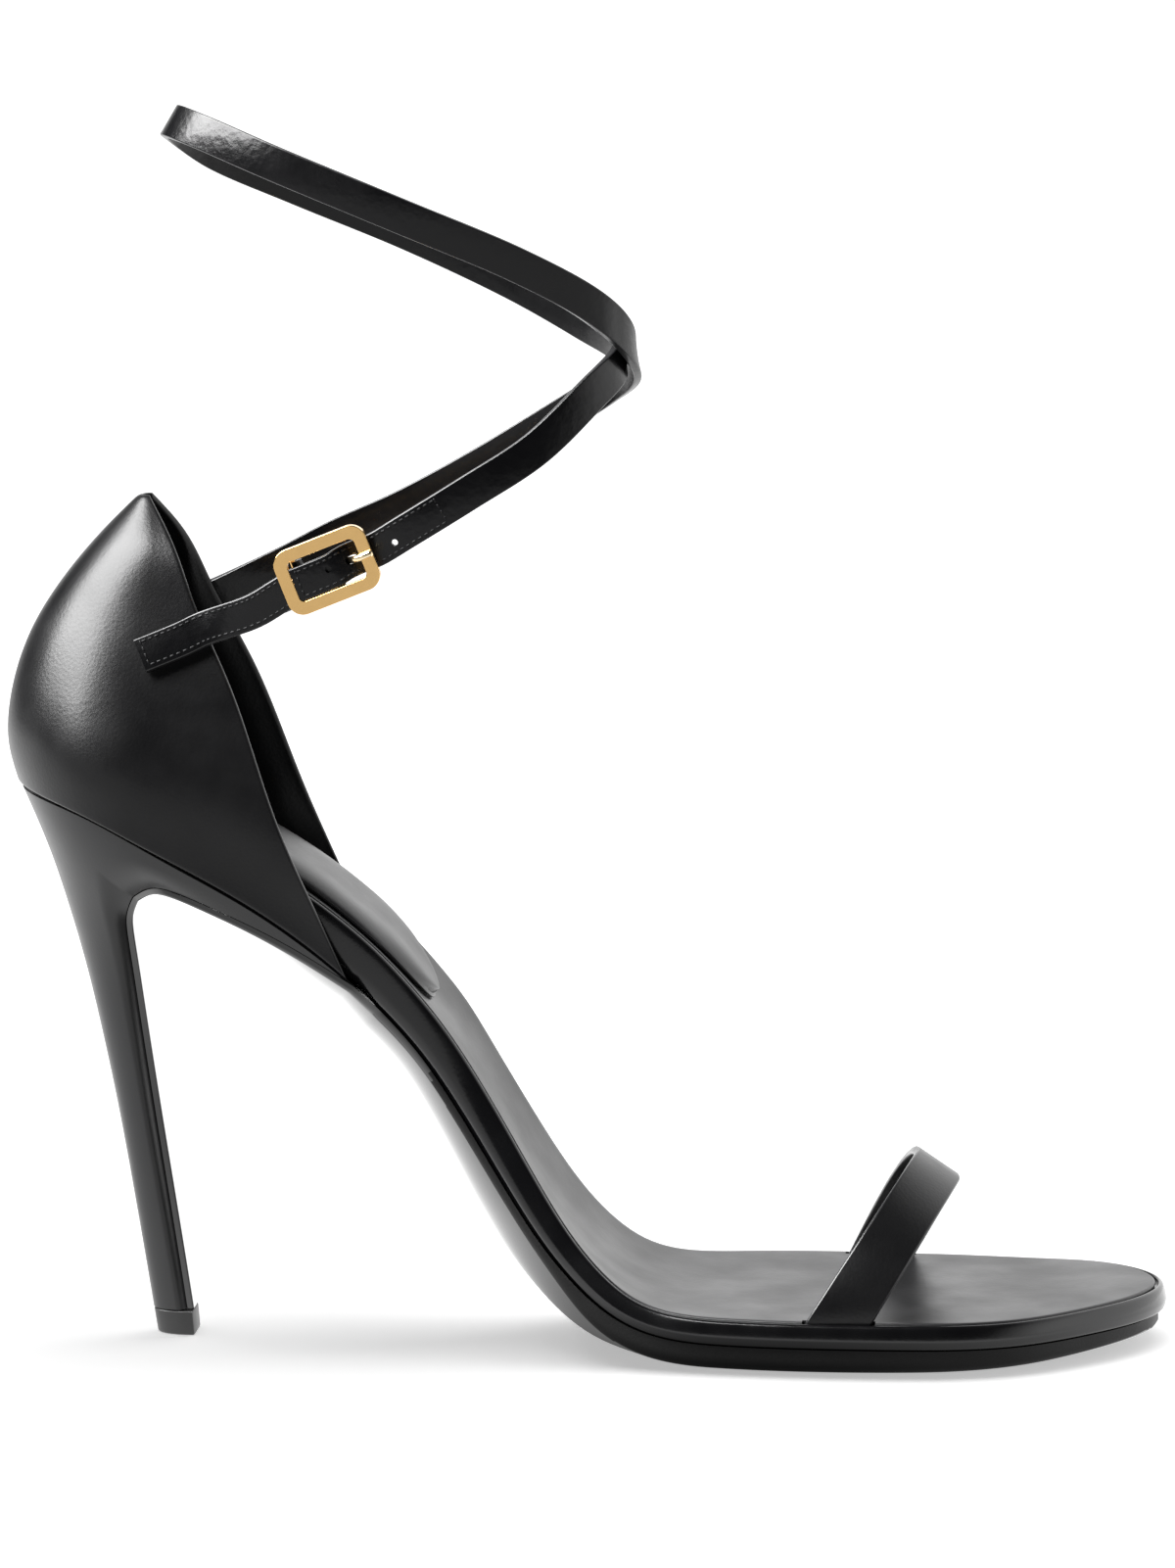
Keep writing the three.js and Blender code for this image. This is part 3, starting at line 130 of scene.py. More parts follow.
bed = {name: spline(BED["along"], BED[name]) for name in ("rise", "middle", "half")}
bed.update({name: spline(LAYERS["along"], LAYERS[name]) for name in list(LAYERS)[1:]})


def side_width(along):
    """Half-width before the round ends: behind it follows the seat's width, in front the ball's."""
    seat = SEAT_WIDTH / (2 * SEAT_HALF * BALL_WIDTH)
    ball = smooth(along, SEAT_UNTIL, BALL_FROM)
    return bed["half"](along) * BALL_WIDTH * (seat + (1 - seat) * ball)


def half_width(along, inset=0.0):
    """Half-width of the outline moved inwards by an inset, with both ends rounded."""
    toe = round_end((1 - along) * BOARD_LENGTH - inset, TOE_ROUND - inset)
    back = round_end(along * BOARD_LENGTH - inset, HEEL_ROUND - inset)
    return (side_width(along) - inset) * toe * back


def on_bed(along, y, height):
    """Point over the bed's edge line: x and z of the line plus a height along its normal."""
    nudge = 0.002
    climb = SEAT_TOP - FORE_TOP
    run = 2 * nudge * BOARD_LENGTH
    lift = (bed["rise"](along + nudge) - bed["rise"](along - nudge)) * climb
    length = np.hypot(run, lift)
    x = along * BOARD_LENGTH - HEEL_SET - lift / length * height
    z = FORE_TOP + bed["rise"](along) * climb + run / length * height
    return np.stack(np.broadcast_arrays(x, y, z), -1)


def arch(along, y):
    """What is left of a crown or dish at a y: 1 on the centre line, 0 at the full width."""
    across = (y - bed["middle"](along) * BALL_WIDTH) / side_width(along)
    return np.clip(1 - across**2, 0, 1)


def dish(along, y):
    """How far the top sinks below its edge line."""
    return -bed["dish"](along) * DISH_DEPTH * arch(along, y)


def underside(along, y):
    """Height of the board's underside: its thickness at the edge and the crown below that."""
    crown = bed["board_crown"](along) * CROWN_DEPTH * arch(along, y)
    return -bed["board"](along) * BOARD_THICKNESS - crown


def outline(first, last, half, count=260):
    """Closed loop of length shares and y: up the inner side from first to last and back down the
    outer side, at shares of (1 - cos) / 2 so that the points crowd where the ends round off."""
    along = first + (last - first) * (0.5 - 0.5 * np.cos(np.linspace(0, np.pi, count)))
    middle, wide = bed["middle"](along) * BALL_WIDTH, half(along)
    inner = np.stack([along, middle + wide], -1)
    outer = np.stack([along, middle - wide], -1)
    return np.concatenate([inner, outer[-2:0:-1]])


def inwards(loop, distance):
    """The loop moved square to itself by a distance."""
    plan = loop * [BOARD_LENGTH, 1]
    run = np.roll(plan, -1, 0) - np.roll(plan, 1, 0)
    normal = np.stack([-run[:, 1], run[:, 0]], -1) / np.hypot(run[:, 0], run[:, 1])[:, None]
    return (plan - normal * distance) / [BOARD_LENGTH, 1]


def across_loop(loop, shares):
    """Loops at shares of the way from the line midway between both sides out to the loop."""
    spine = (loop + np.roll(loop[::-1], 1, 0)) / 2
    return spine + np.asarray(shares)[:, None, None] * (loop - spine)


def shell(name, rings, ends=True, merge=0.002):
    """Closed mesh from rings of points: quads from each ring to the next, and at both ends a fan
    to the ring's mean point. Points closer than merge become one, which closes seams and poles."""
    count, around = rings.shape[:2]
    step = np.arange(around)
    turn = (step + 1) % around
    row = np.arange(count - 1)[:, None] * around
    faces = np.stack([row + step, row + turn, row + around + turn, row + around + step], -1)
    faces = faces.reshape(-1, 4).tolist()
    points = rings.reshape(-1, 3)
    if ends:
        points = np.concatenate([points, rings[:1].mean(1), rings[-1:].mean(1)])
        last = (count - 1) * around
        faces += np.stack([turn, step, np.full(around, count * around)], -1).tolist()
        faces += np.stack([last + step, last + turn, np.full(around, count * around + 1)], -1).tolist()
    mesh = bpy.data.meshes.new(name)
    mesh.from_pydata((points / 1000).tolist(), [], faces)
    return settle(name, mesh, merge)


def settle(name, mesh, merge=0.002, sharp=SHARP_ANGLE):
    """Merges the mesh's doubles, turns its faces outwards, smooths it but for sharp edges and
    links it as an object at the origin."""
    work = bmesh.new()
    work.from_mesh(mesh)
    bmesh.ops.remove_doubles(work, verts=work.verts, dist=merge / 1000)
    bmesh.ops.recalc_face_normals(work, faces=work.faces)
    work.to_mesh(mesh)
    work.free()
    mesh.shade_smooth()
    mesh.set_sharp_from_angle(angle=np.radians(sharp))
    made = bpy.data.objects.new(name, mesh)
    bpy.context.scene.collection.objects.link(made)
    return made


def linear(colour):
    """sRGB hex to linear RGBA: v / 12.92 near black, else ((v + 0.055) / 1.055) ^ 2.4."""
    value = np.array([int(colour[i:i + 2], 16) / 255 for i in (1, 3, 5)])
    value = np.where(value < 0.04045, value / 12.92, ((value + 0.055) / 1.055) ** 2.4)
    return (*value.tolist(), 1.0)


def add_node(tree, kind, inputs=None, **settings):
    """Adds a node, sets its properties, and fills its inputs: a socket is linked and anything
    else becomes the input's own value."""
    node = tree.nodes.new(kind)
    for name, value in settings.items():
        setattr(node, name, value)
    for name, value in (inputs or {}).items():
        if isinstance(value, bpy.types.NodeSocket):
            tree.links.new(value, node.inputs[name])
        else:
            node.inputs[name].default_value = value
    return node


def leather(name, dark, light, rough, pore, relief, mottle=9.0, **sockets):
    """Finished leather: pores as cells of a size and a finer grain between them, both as relief
    of a depth, with the colour going from dark to light and the roughness between two values
    over soft mottling. Sizes in millimetres; sockets are the shader's own values."""
    made = bpy.data.materials.new(name)
    made.use_nodes = True
    tree = made.node_tree
    tree.nodes.clear()
    place = add_node(tree, "ShaderNodeTexCoord").outputs["Object"]
    cells = add_node(tree, "ShaderNodeTexVoronoi", {"Vector": place, "Scale": 1000 / pore}, feature="F1")
    grain = add_node(tree, "ShaderNodeTexNoise", {
        "Vector": place, "Scale": 2200 / pore, "Detail": 3.0})
    clouds = add_node(tree, "ShaderNodeTexNoise", {
        "Vector": place, "Scale": 1000 / mottle, "Detail": 4.0})
    height = add_node(tree, "ShaderNodeMath", {0: cells.outputs["Distance"], 1: grain.outputs["Fac"]})
    bump = add_node(tree, "ShaderNodeBump", {"Height": height.outputs[0], "Distance": relief / 1000})
    tone = add_node(tree, "ShaderNodeMapRange", {
        "Value": clouds.outputs["Fac"], "From Min": 0.3, "From Max": 0.7,
        "To Min": rough[0], "To Max": rough[1]})
    colour = add_node(tree, "ShaderNodeMix", {
        "Factor": clouds.outputs["Fac"], "A": linear(dark), "B": linear(light)}, data_type="RGBA")
    shader = add_node(tree, "ShaderNodeBsdfPrincipled", {
        "Base Color": colour.outputs["Result"], "Roughness": tone.outputs[0],
        "Normal": bump.outputs[0], **sockets})
    add_node(tree, "ShaderNodeOutputMaterial", {"Surface": shader.outputs[0]})
    return made


def dress(piece, material, slot, *nodes):
    """Gives a piece its material and its ride, and hides the imported parts of the nodes it stands for. The
    slot is not used.
    """
    if material:
        piece.data.materials.append(material)
    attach(piece, "root")
    if nodes:
        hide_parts(*nodes)


# Glazed calf: a hard, almost mirror-like resin finish over tight pores
glazed_calf = leather("glazed_calf_leather", "#050506", "#0a0a0b", (0.14, 0.22), 0.7, 0.006,
                      **{"Specular IOR Level": 0.5, "Coat Weight": 0.15, "Coat Roughness": 0.08})

edge = outline(0, 1, half_width)
roll_line = inwards(edge, BOARD_ROLL)
rim = dish(*roll_line.T)
low = underside(*edge.T)
# The wrap's section from the recess over the rim and down to the underside: its share of the way,
# how far it stands in from the outline, and its height
side_knots = [0, 0.07, 0.16, 0.26, 0.38, 0.62, 0.84, 0.93, 1]
side_in = np.array([1.27, 1.12, 0.80, 0.35, 0.02, -BOARD_BELLY, -0.12, 0.25, 0.90])
side_up = np.stack([rim - RECESS, rim - 0.22, rim, rim - 0.22, rim - 0.85, (rim + low) / 2 - 0.3,
                    low + 0.95, low + 0.22, low])
profile = np.linspace(0, 1, 34)
side_insets = spline(side_knots, side_in)(profile)
side_heights = spline(side_knots, side_up)(profile)
flank = np.stack([on_bed(loop[:, 0], loop[:, 1], height) for loop, height in zip(
    (inwards(edge, inset) for inset in side_insets), side_heights)])
top = across_loop(inwards(edge, side_in[0]), np.linspace(0, 1, 20)[:-1])
under = across_loop(inwards(edge, side_in[-1]), np.linspace(1, 0, 20)[1:])
board = shell("insole_board_wrap", np.concatenate([
    on_bed(top[..., 0], top[..., 1], dish(top[..., 0], top[..., 1]) - RECESS),
    flank,
    on_bed(under[..., 0], under[..., 1], underside(under[..., 0], under[..., 1])),
]), ends=False)


def carve(piece, cutters):
    """Takes the cutters out of the piece's mesh with a boolean that is worked out at once."""
    for cutter in cutters:
        cutting = piece.modifiers.new("carve", "BOOLEAN")
        cutting.operation = "DIFFERENCE"
        cutting.solver = "EXACT"
        cutting.object = cutter
    graph = bpy.context.evaluated_depsgraph_get()
    mesh = bpy.data.meshes.new_from_object(piece.evaluated_get(graph))
    piece.modifiers.clear()
    piece.data = mesh
    mesh.shade_smooth()
    mesh.set_sharp_from_angle(angle=np.radians(SHARP_ANGLE))
    for cutter in cutters:
        bpy.data.objects.remove(cutter)


# Slots for the toe strap's feet, as long as the strap is wide
TOE_STRAP_AT = 155.5
TOE_STRAP_SKEW = 2.3
TOE_STRAP_WIDTH = 12.5
TOE_STRAP_THICKNESS = 1.8
TOE_STRAP_RIM = 1.6
TOE_STRAP_DEPTH = 3.4
SLOT_CUT_HEIGHT = 10.0
strap_share = TOE_STRAP_AT / BOARD_LENGTH
strap_foot = on_bed(strap_share, bed["middle"](strap_share) * BALL_WIDTH, 0.0)
strap_reach = half_width(strap_share) - TOE_STRAP_RIM - GAP - TOE_STRAP_THICKNESS / 2


def strap_slots(room):
    """Boxes round both feet of the toe strap, longer and open outwards by a room."""
    length = TOE_STRAP_WIDTH + 2 * GAP + room
    thick = TOE_STRAP_THICKNESS + 2 * GAP + 4 * room
    slots = []
    for sign in (-1, 1):
        x, z = strap_foot[0] + sign * TOE_STRAP_SKEW, strap_foot[2] - TOE_STRAP_DEPTH - GAP
        y = strap_foot[1] + sign * (strap_reach + 2 * room)
        corners = np.array([[-1, -1], [1, -1], [1, 1], [-1, 1]]) * [length / 2, thick / 2]
        rings = [np.column_stack([x + corners[:, 0], y + corners[:, 1], np.full(4, level)])
                 for level in (z, z + SLOT_CUT_HEIGHT)]
        slots.append(shell("slot", np.array(rings)))
    return slots


carve(board, strap_slots(0))
dress(board, glazed_calf, "board", "insole_board")

# Sock lining
# Thin lining leather glued into the rim's recess, with its edge turned down, and cut out round the
# feet of the toe strap. A worn satin finish gives it a soft grey sheen at a low angle.
SOCK_INSET = 1.7
SOCK_THICKNESS = 0.9
SOCK_SLOT_ROOM = 0.6
satin_lining = leather("satin_lining_leather", "#161617", "#1e1e1f", (0.31, 0.41), 0.9, 0.012,
                       mottle=14.0)

sock_start = SOCK_INSET / BOARD_LENGTH
sock_edge = outline(sock_start, 1 - sock_start, lambda along: half_width(along, SOCK_INSET))
# Rows of points: how far each stands in from the edge, its height, and its share of the width
sock_rows = [(0.35, 0, share) for share in np.linspace(0, 1, 16)]
sock_rows += [(0.12, 0.08, 1), (0, 0.3, 1), (0, 0.5, 1), (0.08, 0.7, 1), (0.25, 0.85, 1)]
sock_rows += [(0.5, SOCK_THICKNESS, share) for share in np.linspace(1, 0, 30)]
sock_rings = []
for inset, height, share in sock_rows:
    line = across_loop(inwards(sock_edge, inset), [share])[0]
    level = dish(*line.T) - RECESS + GAP + height
    sock_rings.append(on_bed(line[:, 0], line[:, 1], level))
sock = shell("sock_lining_leather", np.array(sock_rings), ends=False)
carve(sock, strap_slots(SOCK_SLOT_ROOM))
dress(sock, satin_lining, "lining", "sock_lining")

# Heel pad
# A thin foam cushion under the same lining leather, from inside the closed back to the waist,
# skived to a low edge all round.
PAD_LENGTH = 73.0
PAD_WIDTH = 32.0
PAD_THICKNESS = 3.0
PAD_START = 0.012
PAD_BACK_ROUND = 20.0
PAD_FRONT_ROUND = 15.0
PAD_SKIVE = 0.62
pad_last = PAD_START + PAD_LENGTH / BOARD_LENGTH


def pad_ends(along):
    """What the rounded ends leave of the pad's width: both ends' quarter ellipses multiplied."""
    behind = (along - PAD_START) * BOARD_LENGTH
    return round_end(behind, PAD_BACK_ROUND) * round_end(PAD_LENGTH - behind, PAD_FRONT_ROUND)


pad_edge = outline(PAD_START, pad_last, lambda along: np.minimum(
    PAD_WIDTH / 2 * pad_ends(along), half_width(along, SOCK_INSET + 1)), 160)
# Rows as for the sock lining, with their heights as shares of the pad's thickness
pad_rows = [(0.5, 0, share) for share in np.linspace(0, 1, 12)]
pad_rows += [(0.2, 0.02, 1), (0, 0.12, 1), (0, 0.22, 1), (0.15, 0.3, 1)]
pad_rows += [(0.4, 1 - PAD_SKIVE * share**5, share) for share in np.linspace(1, 0, 30)]
pad_rings = []
for inset, height, share in pad_rows:
    line = across_loop(inwards(pad_edge, inset), [share])[0]
    swell = np.sqrt(np.clip(0.12 + pad_ends(line[:, 0]), 0, 1))
    level = dish(*line.T) + 2 * GAP + PAD_THICKNESS * height * swell
    pad_rings.append(on_bed(line[:, 0], line[:, 1], level))
pad = shell("heel_pad_cushion", np.array(pad_rings), ends=False)
dress(pad, satin_lining, "lining", "heel_pad")

# Heel
# A moulded heel covered in one piece of black calf, its seam hidden under the flap on its breast.
# It is slim and nearly round below, and widens into a wedge under the seat.
COUNTER_WALL = 2.0
FLAP_THICKNESS = 1.0
LIFT_HEIGHT = 4.6
TIP_WIDTH = 9.2
CORNER = 0.5
HEEL_STEPS = 8
PINCH_REACH = 0.3
WEDGE_CROWN = 0.8
CROWN_START = 0.55
TOP_BACK = -0.016
TOP_REACH = 0.328
TOP_ABOVE_SEAT = 5.0
LEAST_HALF = 0.4
BREAST_EASE = 0.25
# Breast and back of the column from the tip up, as shares of the board's length and the heel's
# height, and how much narrower the section is at its breast
HEEL = {
    "step": [0, 1, 2, 3, 4, 5, 6, 7, 8],
    "breast_x": [0.0150, 0.0078, -0.0032, -0.0140, -0.0236, -0.0292, -0.0328, -0.0325, -0.0265],
    "breast_z": [0.0467, 0.143, 0.286, 0.429, 0.571, 0.667, 0.738, 0.778, 0.808],
    "back_x": [-0.0223, -0.0300, -0.0418, -0.0545, -0.0690, -0.0812, -0.0967, -0.1141, -0.1370],
    "back_z": [0.0467, 0.143, 0.286, 0.429, 0.571, 0.676, 0.788, 0.895, 1.005],
    "pinch": [0.42, 0.45, 0.48, 0.48, 0.40, 0.33, 0.29, 0.27, 0.24],
}
# The wedge's lower face from the corner out to its front edge, in the same shares
WEDGE = {
    "out": [0.00, 0.09, 0.20, 0.37, 0.58, 0.80, 1.00],
    "x": [-0.0265, -0.0130, 0.0040, 0.0332, 0.0750, 0.1210, 0.1660],
    "z": [0.8080, 0.8250, 0.8255, 0.8057, 0.7690, 0.7200, 0.6640],
    "pinch": [0.24, 0.16, 0.08, 0.02, 0.00, 0.00, 0.00],
}
# Level sections: depth below the seat over the heel's height, share of the seat's half-width, and
# how far the back is rounded as a share of the board's length
SECTIONS = {
    "depth": [0.000, 0.055, 0.110, 0.170, 0.260, 0.370, 0.520, 0.700, 1.000],
    "half": [1.000, 0.905, 0.775, 0.610, 0.425, 0.315, 0.250, 0.215, 0.196],
    "round": [0.136, 0.110, 0.088, 0.070, 0.052, 0.040, 0.033, 0.030, 0.028],
}
column = {name: spline(HEEL["step"], HEEL[name]) for name in list(HEEL)[1:]}
wedge = {name: spline(WEDGE["out"], WEDGE[name]) for name in ("x", "z", "pinch")}
section_half = spline(SECTIONS["depth"], SECTIONS["half"])
section_round = spline(SECTIONS["depth"], SECTIONS["round"])
back_at_height = spline(HEEL["back_z"], HEEL["back_x"])


def seat_point(along):
    """The board's underside at its edge."""
    return on_bed(along, 0.0, -bed["board"](along) * BOARD_THICKNESS)


seat_shares = np.linspace(-0.1, 0.4, 2000)
seat_line = seat_point(seat_shares)[:, 0]


def heel_width(x, z):
    """Half-width of the heel's outside at a point of its side view: the seat's width times the
    section's share for the depth below the seat, rounded off towards the back."""
    share = np.interp(np.maximum(x, seat_point(0.0)[0] - COUNTER_WALL), seat_line, seat_shares)
    depth = np.maximum(0, seat_point(share)[..., 2] - z) / HEEL_HEIGHT
    full = side_width(share) + BOARD_BELLY + GAP + COUNTER_WALL
    tip = TIP_WIDTH / 2 / (section_half(1.0) * full)
    slim = 1 + (tip - 1) * np.minimum(1, depth / 0.5)
    past = np.maximum(0, x - back_at_height(np.minimum(z / HEEL_HEIGHT, 1.005)) * BOARD_LENGTH)
    behind = round_end(past, section_round(depth) * BOARD_LENGTH)
    return np.maximum(LEAST_HALF, full * section_half(depth) * slim * behind)


def flap_line(share):
    """The flap's outer face in x and z: up the column to the corner, then out under the wedge."""
    step = share / CORNER * HEEL_STEPS
    out = (share - CORNER) / (1 - CORNER)
    size = np.array([BOARD_LENGTH, HEEL_HEIGHT])
    up = np.stack([column["breast_x"](step), column["breast_z"](step)], -1)
    away = np.stack([wedge["x"](out), wedge["z"](out)], -1)
    return np.where((share <= CORNER)[..., None], up, away) * size


def breast_normal(share):
    """Direction into the heel, square to the flap line."""
    run = flap_line(np.minimum(1, share + 0.02)) - flap_line(np.maximum(0, share - 0.02))
    run = run / np.linalg.norm(run, axis=-1, keepdims=True)
    return np.stack([-run[..., 1], run[..., 0]], -1)


def breast_point(share):
    """The heel's own breast, behind the flap and no lower than the top lift."""
    point = flap_line(share) + breast_normal(share) * (FLAP_THICKNESS + GAP)
    point[..., 1] = np.maximum(point[..., 1], LIFT_HEIGHT + GAP)
    return point


def breast_share(share, reach):
    """What the flat breast leaves of the section's half-width near it."""
    low = column["pinch"](share / CORNER * HEEL_STEPS)
    high = wedge["pinch"]((share - CORNER) / (1 - CORNER))
    pinch = np.where(share <= CORNER, low, high)
    return 1 - pinch * np.maximum(0, 1 - reach / PINCH_REACH) ** 2


def wedge_crown(share):
    """Depth of the crown under the wedge, rising towards the waist."""
    return WEDGE_CROWN * CROWN_DEPTH * smooth(share, CROWN_START, 1)


def back_point(share):
    """Where a section ends behind: on the column's back line, or past the corner over the seat."""
    step = np.minimum(share, CORNER) / CORNER * HEEL_STEPS
    size = np.array([BOARD_LENGTH, HEEL_HEIGHT])
    column_back = np.stack([column["back_x"](step), column["back_z"](step)], -1) * size
    out = np.maximum(0, (share - CORNER) / (1 - CORNER))
    along = TOP_BACK + TOP_REACH * out**0.85
    over = on_bed(along, 0.0, TOP_ABOVE_SEAT - bed["board"](along) * BOARD_THICKNESS)[..., ::2]
    return column_back + smooth(out, 0, 0.12)[..., None] * (over - column_back)


heel_shares = np.concatenate([
    np.linspace(0, 0.4, 60), np.linspace(0.4, 0.6, 60)[1:], np.linspace(0.6, 1, 70)[1:]])[:, None]
front, back = breast_point(heel_shares), back_point(heel_shares)
inside = breast_normal(heel_shares)
# Every section goes forward along one side, across the breast and back along the other, with more
# points where the back is rounded
reach = 1 - np.cos(np.linspace(0, np.pi / 2, 44))
reach = np.concatenate([[0.004, 0.012, 0.025, 0.045], reach[reach > 0.06]])[None]
reach = np.sort(np.concatenate([reach[0], 1 - np.geomspace(0.0005, 0.02, 8)]))[None]
flank = front + (back - front) * reach[..., None]
flank_half = heel_width(flank[..., 0], flank[..., 1]) * breast_share(heel_shares, reach)
breast = np.linspace(-1, 1, 25)[None]
breast_half = heel_width(front[..., 0], front[..., 1]) * breast_share(heel_shares, 0.0)
ease = BREAST_EASE * np.abs(breast) ** 12
face = front + inside * (ease - wedge_crown(heel_shares) * (1 - breast**2))[..., None]
heel_rings = np.concatenate([
    np.stack([flank[..., 0], -flank_half, flank[..., 1]], -1)[:, ::-1],
    np.stack([face[..., 0], breast * breast_half * (1 - 0.02 * np.abs(breast) ** 12),
              face[..., 1]], -1),
    np.stack([flank[..., 0], flank_half, flank[..., 1]], -1),
], 1)
heel = shell("heel_cover", heel_rings)

# The seat is hollowed to the board's underside
over_shares = np.concatenate([[-0.06, -0.03], np.linspace(0, 0.4, 120)])[:, None]
over_wide = side_width(np.maximum(over_shares, 0))
over_y = bed["middle"](over_shares) * BALL_WIDTH + np.linspace(-1.6, 1.6, 65)[None] * over_wide
over_low = underside(over_shares, over_y) - 1.4 * GAP
carve(heel, [shell("over_seat", np.concatenate([
    on_bed(over_shares, over_y, over_low), on_bed(over_shares, over_y, 25.0)[:, ::-1]], 1))])
# Covered calf: the same skin pulled tight over the mould, with its pores drawn flat
covered_calf = leather("covered_calf_leather", "#0e0e0f", "#141415", (0.33, 0.4), 0.6, 0.006)
dress(heel, covered_calf, "heel_cover", "heel")

# Top lift
# The hard black rubber tip that meets the ground, nailed under heel and flap, ground flush with
# both and with its lower edge taken off.
TIP_ROUND = 6.0

# Moulded rubber: hard and close-grained, with a dull even sheen
moulded_rubber = leather("moulded_rubber", "#0c0c0c", "#141414", (0.42, 0.5), 0.25, 0.01, mottle=4.0)

lift_front = breast_point(np.array([0.0, 0.05]))[:, 0]
lift_z = np.array([0, 0.08, 0.25, 0.5, 2.5, LIFT_HEIGHT - 0.12, LIFT_HEIGHT])[:, None]
lift_grow = np.array([-0.45, -0.2, -0.05, 0, 0, 0, -0.1])[:, None]
lift_x0 = lift_front[0] + (lift_front[0] - lift_front[1]) * 0.35 * (1 - lift_z / LIFT_HEIGHT)
lift_x0 += GAP + FLAP_THICKNESS + lift_grow
lift_x1 = back_at_height(lift_z / HEEL_HEIGHT) * BOARD_LENGTH - lift_grow
lift_reach = np.concatenate([[0, 0.02], 1 - np.cos(np.linspace(0.25, np.pi / 2, 30))])[None]
lift_reach = np.sort(np.concatenate([lift_reach[0], 1 - np.geomspace(0.0002, 0.01, 6)]))[None]
lift_half = (TIP_WIDTH / 2 + lift_grow) * np.where(lift_reach == 0, 0.86, 1)
lift_half = lift_half * round_end((1 - lift_reach) * (lift_x0 - lift_x1), TIP_ROUND)
lift_x = lift_x0 + (lift_x1 - lift_x0) * lift_reach
lift_half, lift_x, lift_level = np.broadcast_arrays(lift_half, lift_x, lift_z)
lift = shell("top_lift_rubber", np.concatenate([
    np.stack([lift_x, lift_half, lift_level], -1),
    np.stack([lift_x, -lift_half, lift_level], -1)[:, ::-1]], 1))
dress(lift, moulded_rubber, "tip", "top_lift")

# Outsole
# One piece of polished black sole leather: thick under the forefoot, skived thin under the arched
# waist, and carried on as the flap that covers the heel's breast down to the top lift.
SOLE_INSET = 1.3
SOLE_START = 0.335
FLAP_LAP = 0.2
EDGE_SHARE = 0.966
TOE_EDGE = 1.2
EDGE_START = 50.0
TREAD_ROUND = 1.6
TOE_TREAD_ROUND = 2.2
FLAP_EASE = 0.45
FLAP_ROUND = 0.5

# Polished sole leather: burnished with wax to a deep wet gloss
polished_sole = leather("polished_sole_leather", "#040405", "#080809", (0.08, 0.13), 0.8, 0.003,
                        **{"Coat Weight": 0.9, "Coat Roughness": 0.04})

sole_end = 1 - (SOLE_INSET + 0.004) / BOARD_LENGTH
sole_along = SOLE_START + (sole_end - SOLE_START) * np.sin(np.linspace(0, np.pi / 2, 220))[::-1, None]
sole_half = half_width(sole_along, SOLE_INSET)
sole_lines = np.linspace(-1, 1, 41)[None]
tread = np.sin(np.linspace(-np.pi / 2, np.pi / 2, 49))[None, ::-1]
sole_middle = bed["middle"](sole_along) * BALL_WIDTH


def sole_bottom(along, across):
    """Depth of the tread: the edge's thickness under the board plus the crown, thinned towards
    both sides and the toe so that the lower edge is rounded off."""
    thin = bed["edge"](along) * SOLE_THICKNESS
    toe_ease = round_end((sole_end - along) * BOARD_LENGTH + 0.5, TOE_TREAD_ROUND)
    side_ease = round_end((1 - np.abs(across)) * half_width(along, SOLE_INSET),
                          np.minimum(TREAD_ROUND, 0.3 * thin + 0.3))
    ease = toe_ease * (0.45 + 0.55 * side_ease)
    crown = bed["sole_crown"](along) * CROWN_DEPTH * (1 - across**2)
    return -bed["board"](along) * BOARD_THICKNESS - GAP - thin * ease - crown


sole_y = sole_middle + sole_lines * sole_half
tread_y = sole_middle + tread * sole_half
sole_tread = on_bed(sole_along, tread_y, sole_bottom(sole_along, tread))
sole_tread[..., 2] = np.maximum(0, sole_tread[..., 2])
sole_top = underside(sole_along, sole_y) - GAP * (0.1 + 0.9 * sole_lines**2)
sole_rings = np.concatenate([on_bed(sole_along, sole_y, sole_top), sole_tread], 1)

flap_shares = heel_shares[::-1]
flap_edge, flap_in = flap_line(flap_shares), breast_normal(flap_shares)
flap_side = breast_point(flap_shares)
flap_half = heel_width(flap_side[..., 0], flap_side[..., 1]) * breast_share(flap_shares, 0.0)


def flap_face(across, height):
    """Points of the flap: the flap line plus a height into the heel, at shares of its width."""
    point = flap_edge + flap_in * (height - wedge_crown(flap_shares) * (1 - across**2))[..., None]
    level = np.maximum(point[..., 1], LIFT_HEIGHT + GAP)
    return np.stack(np.broadcast_arrays(point[..., 0], across * flap_half, level), -1)


flap_ease = FLAP_EASE * (1 - round_end((1 - np.abs(tread)) * flap_half, FLAP_ROUND))
flap_back = np.full_like(sole_lines, FLAP_THICKNESS + FLAP_LAP)
flap_rings = np.concatenate([flap_face(sole_lines, flap_back), flap_face(tread, flap_ease)], 1)
sole = shell("outsole_leather", np.concatenate([sole_rings, flap_rings]))
# Edge dressing: black wax ink ironed into the cut edge, almost without gloss
edge_dressing = leather("waxed_edge_dressing", "#040404", "#080808", (0.4, 0.5), 0.5, 0.02,
                        **{"Specular IOR Level": 0.25})
sole.data.materials.append(polished_sole)
sole.data.materials.append(edge_dressing)
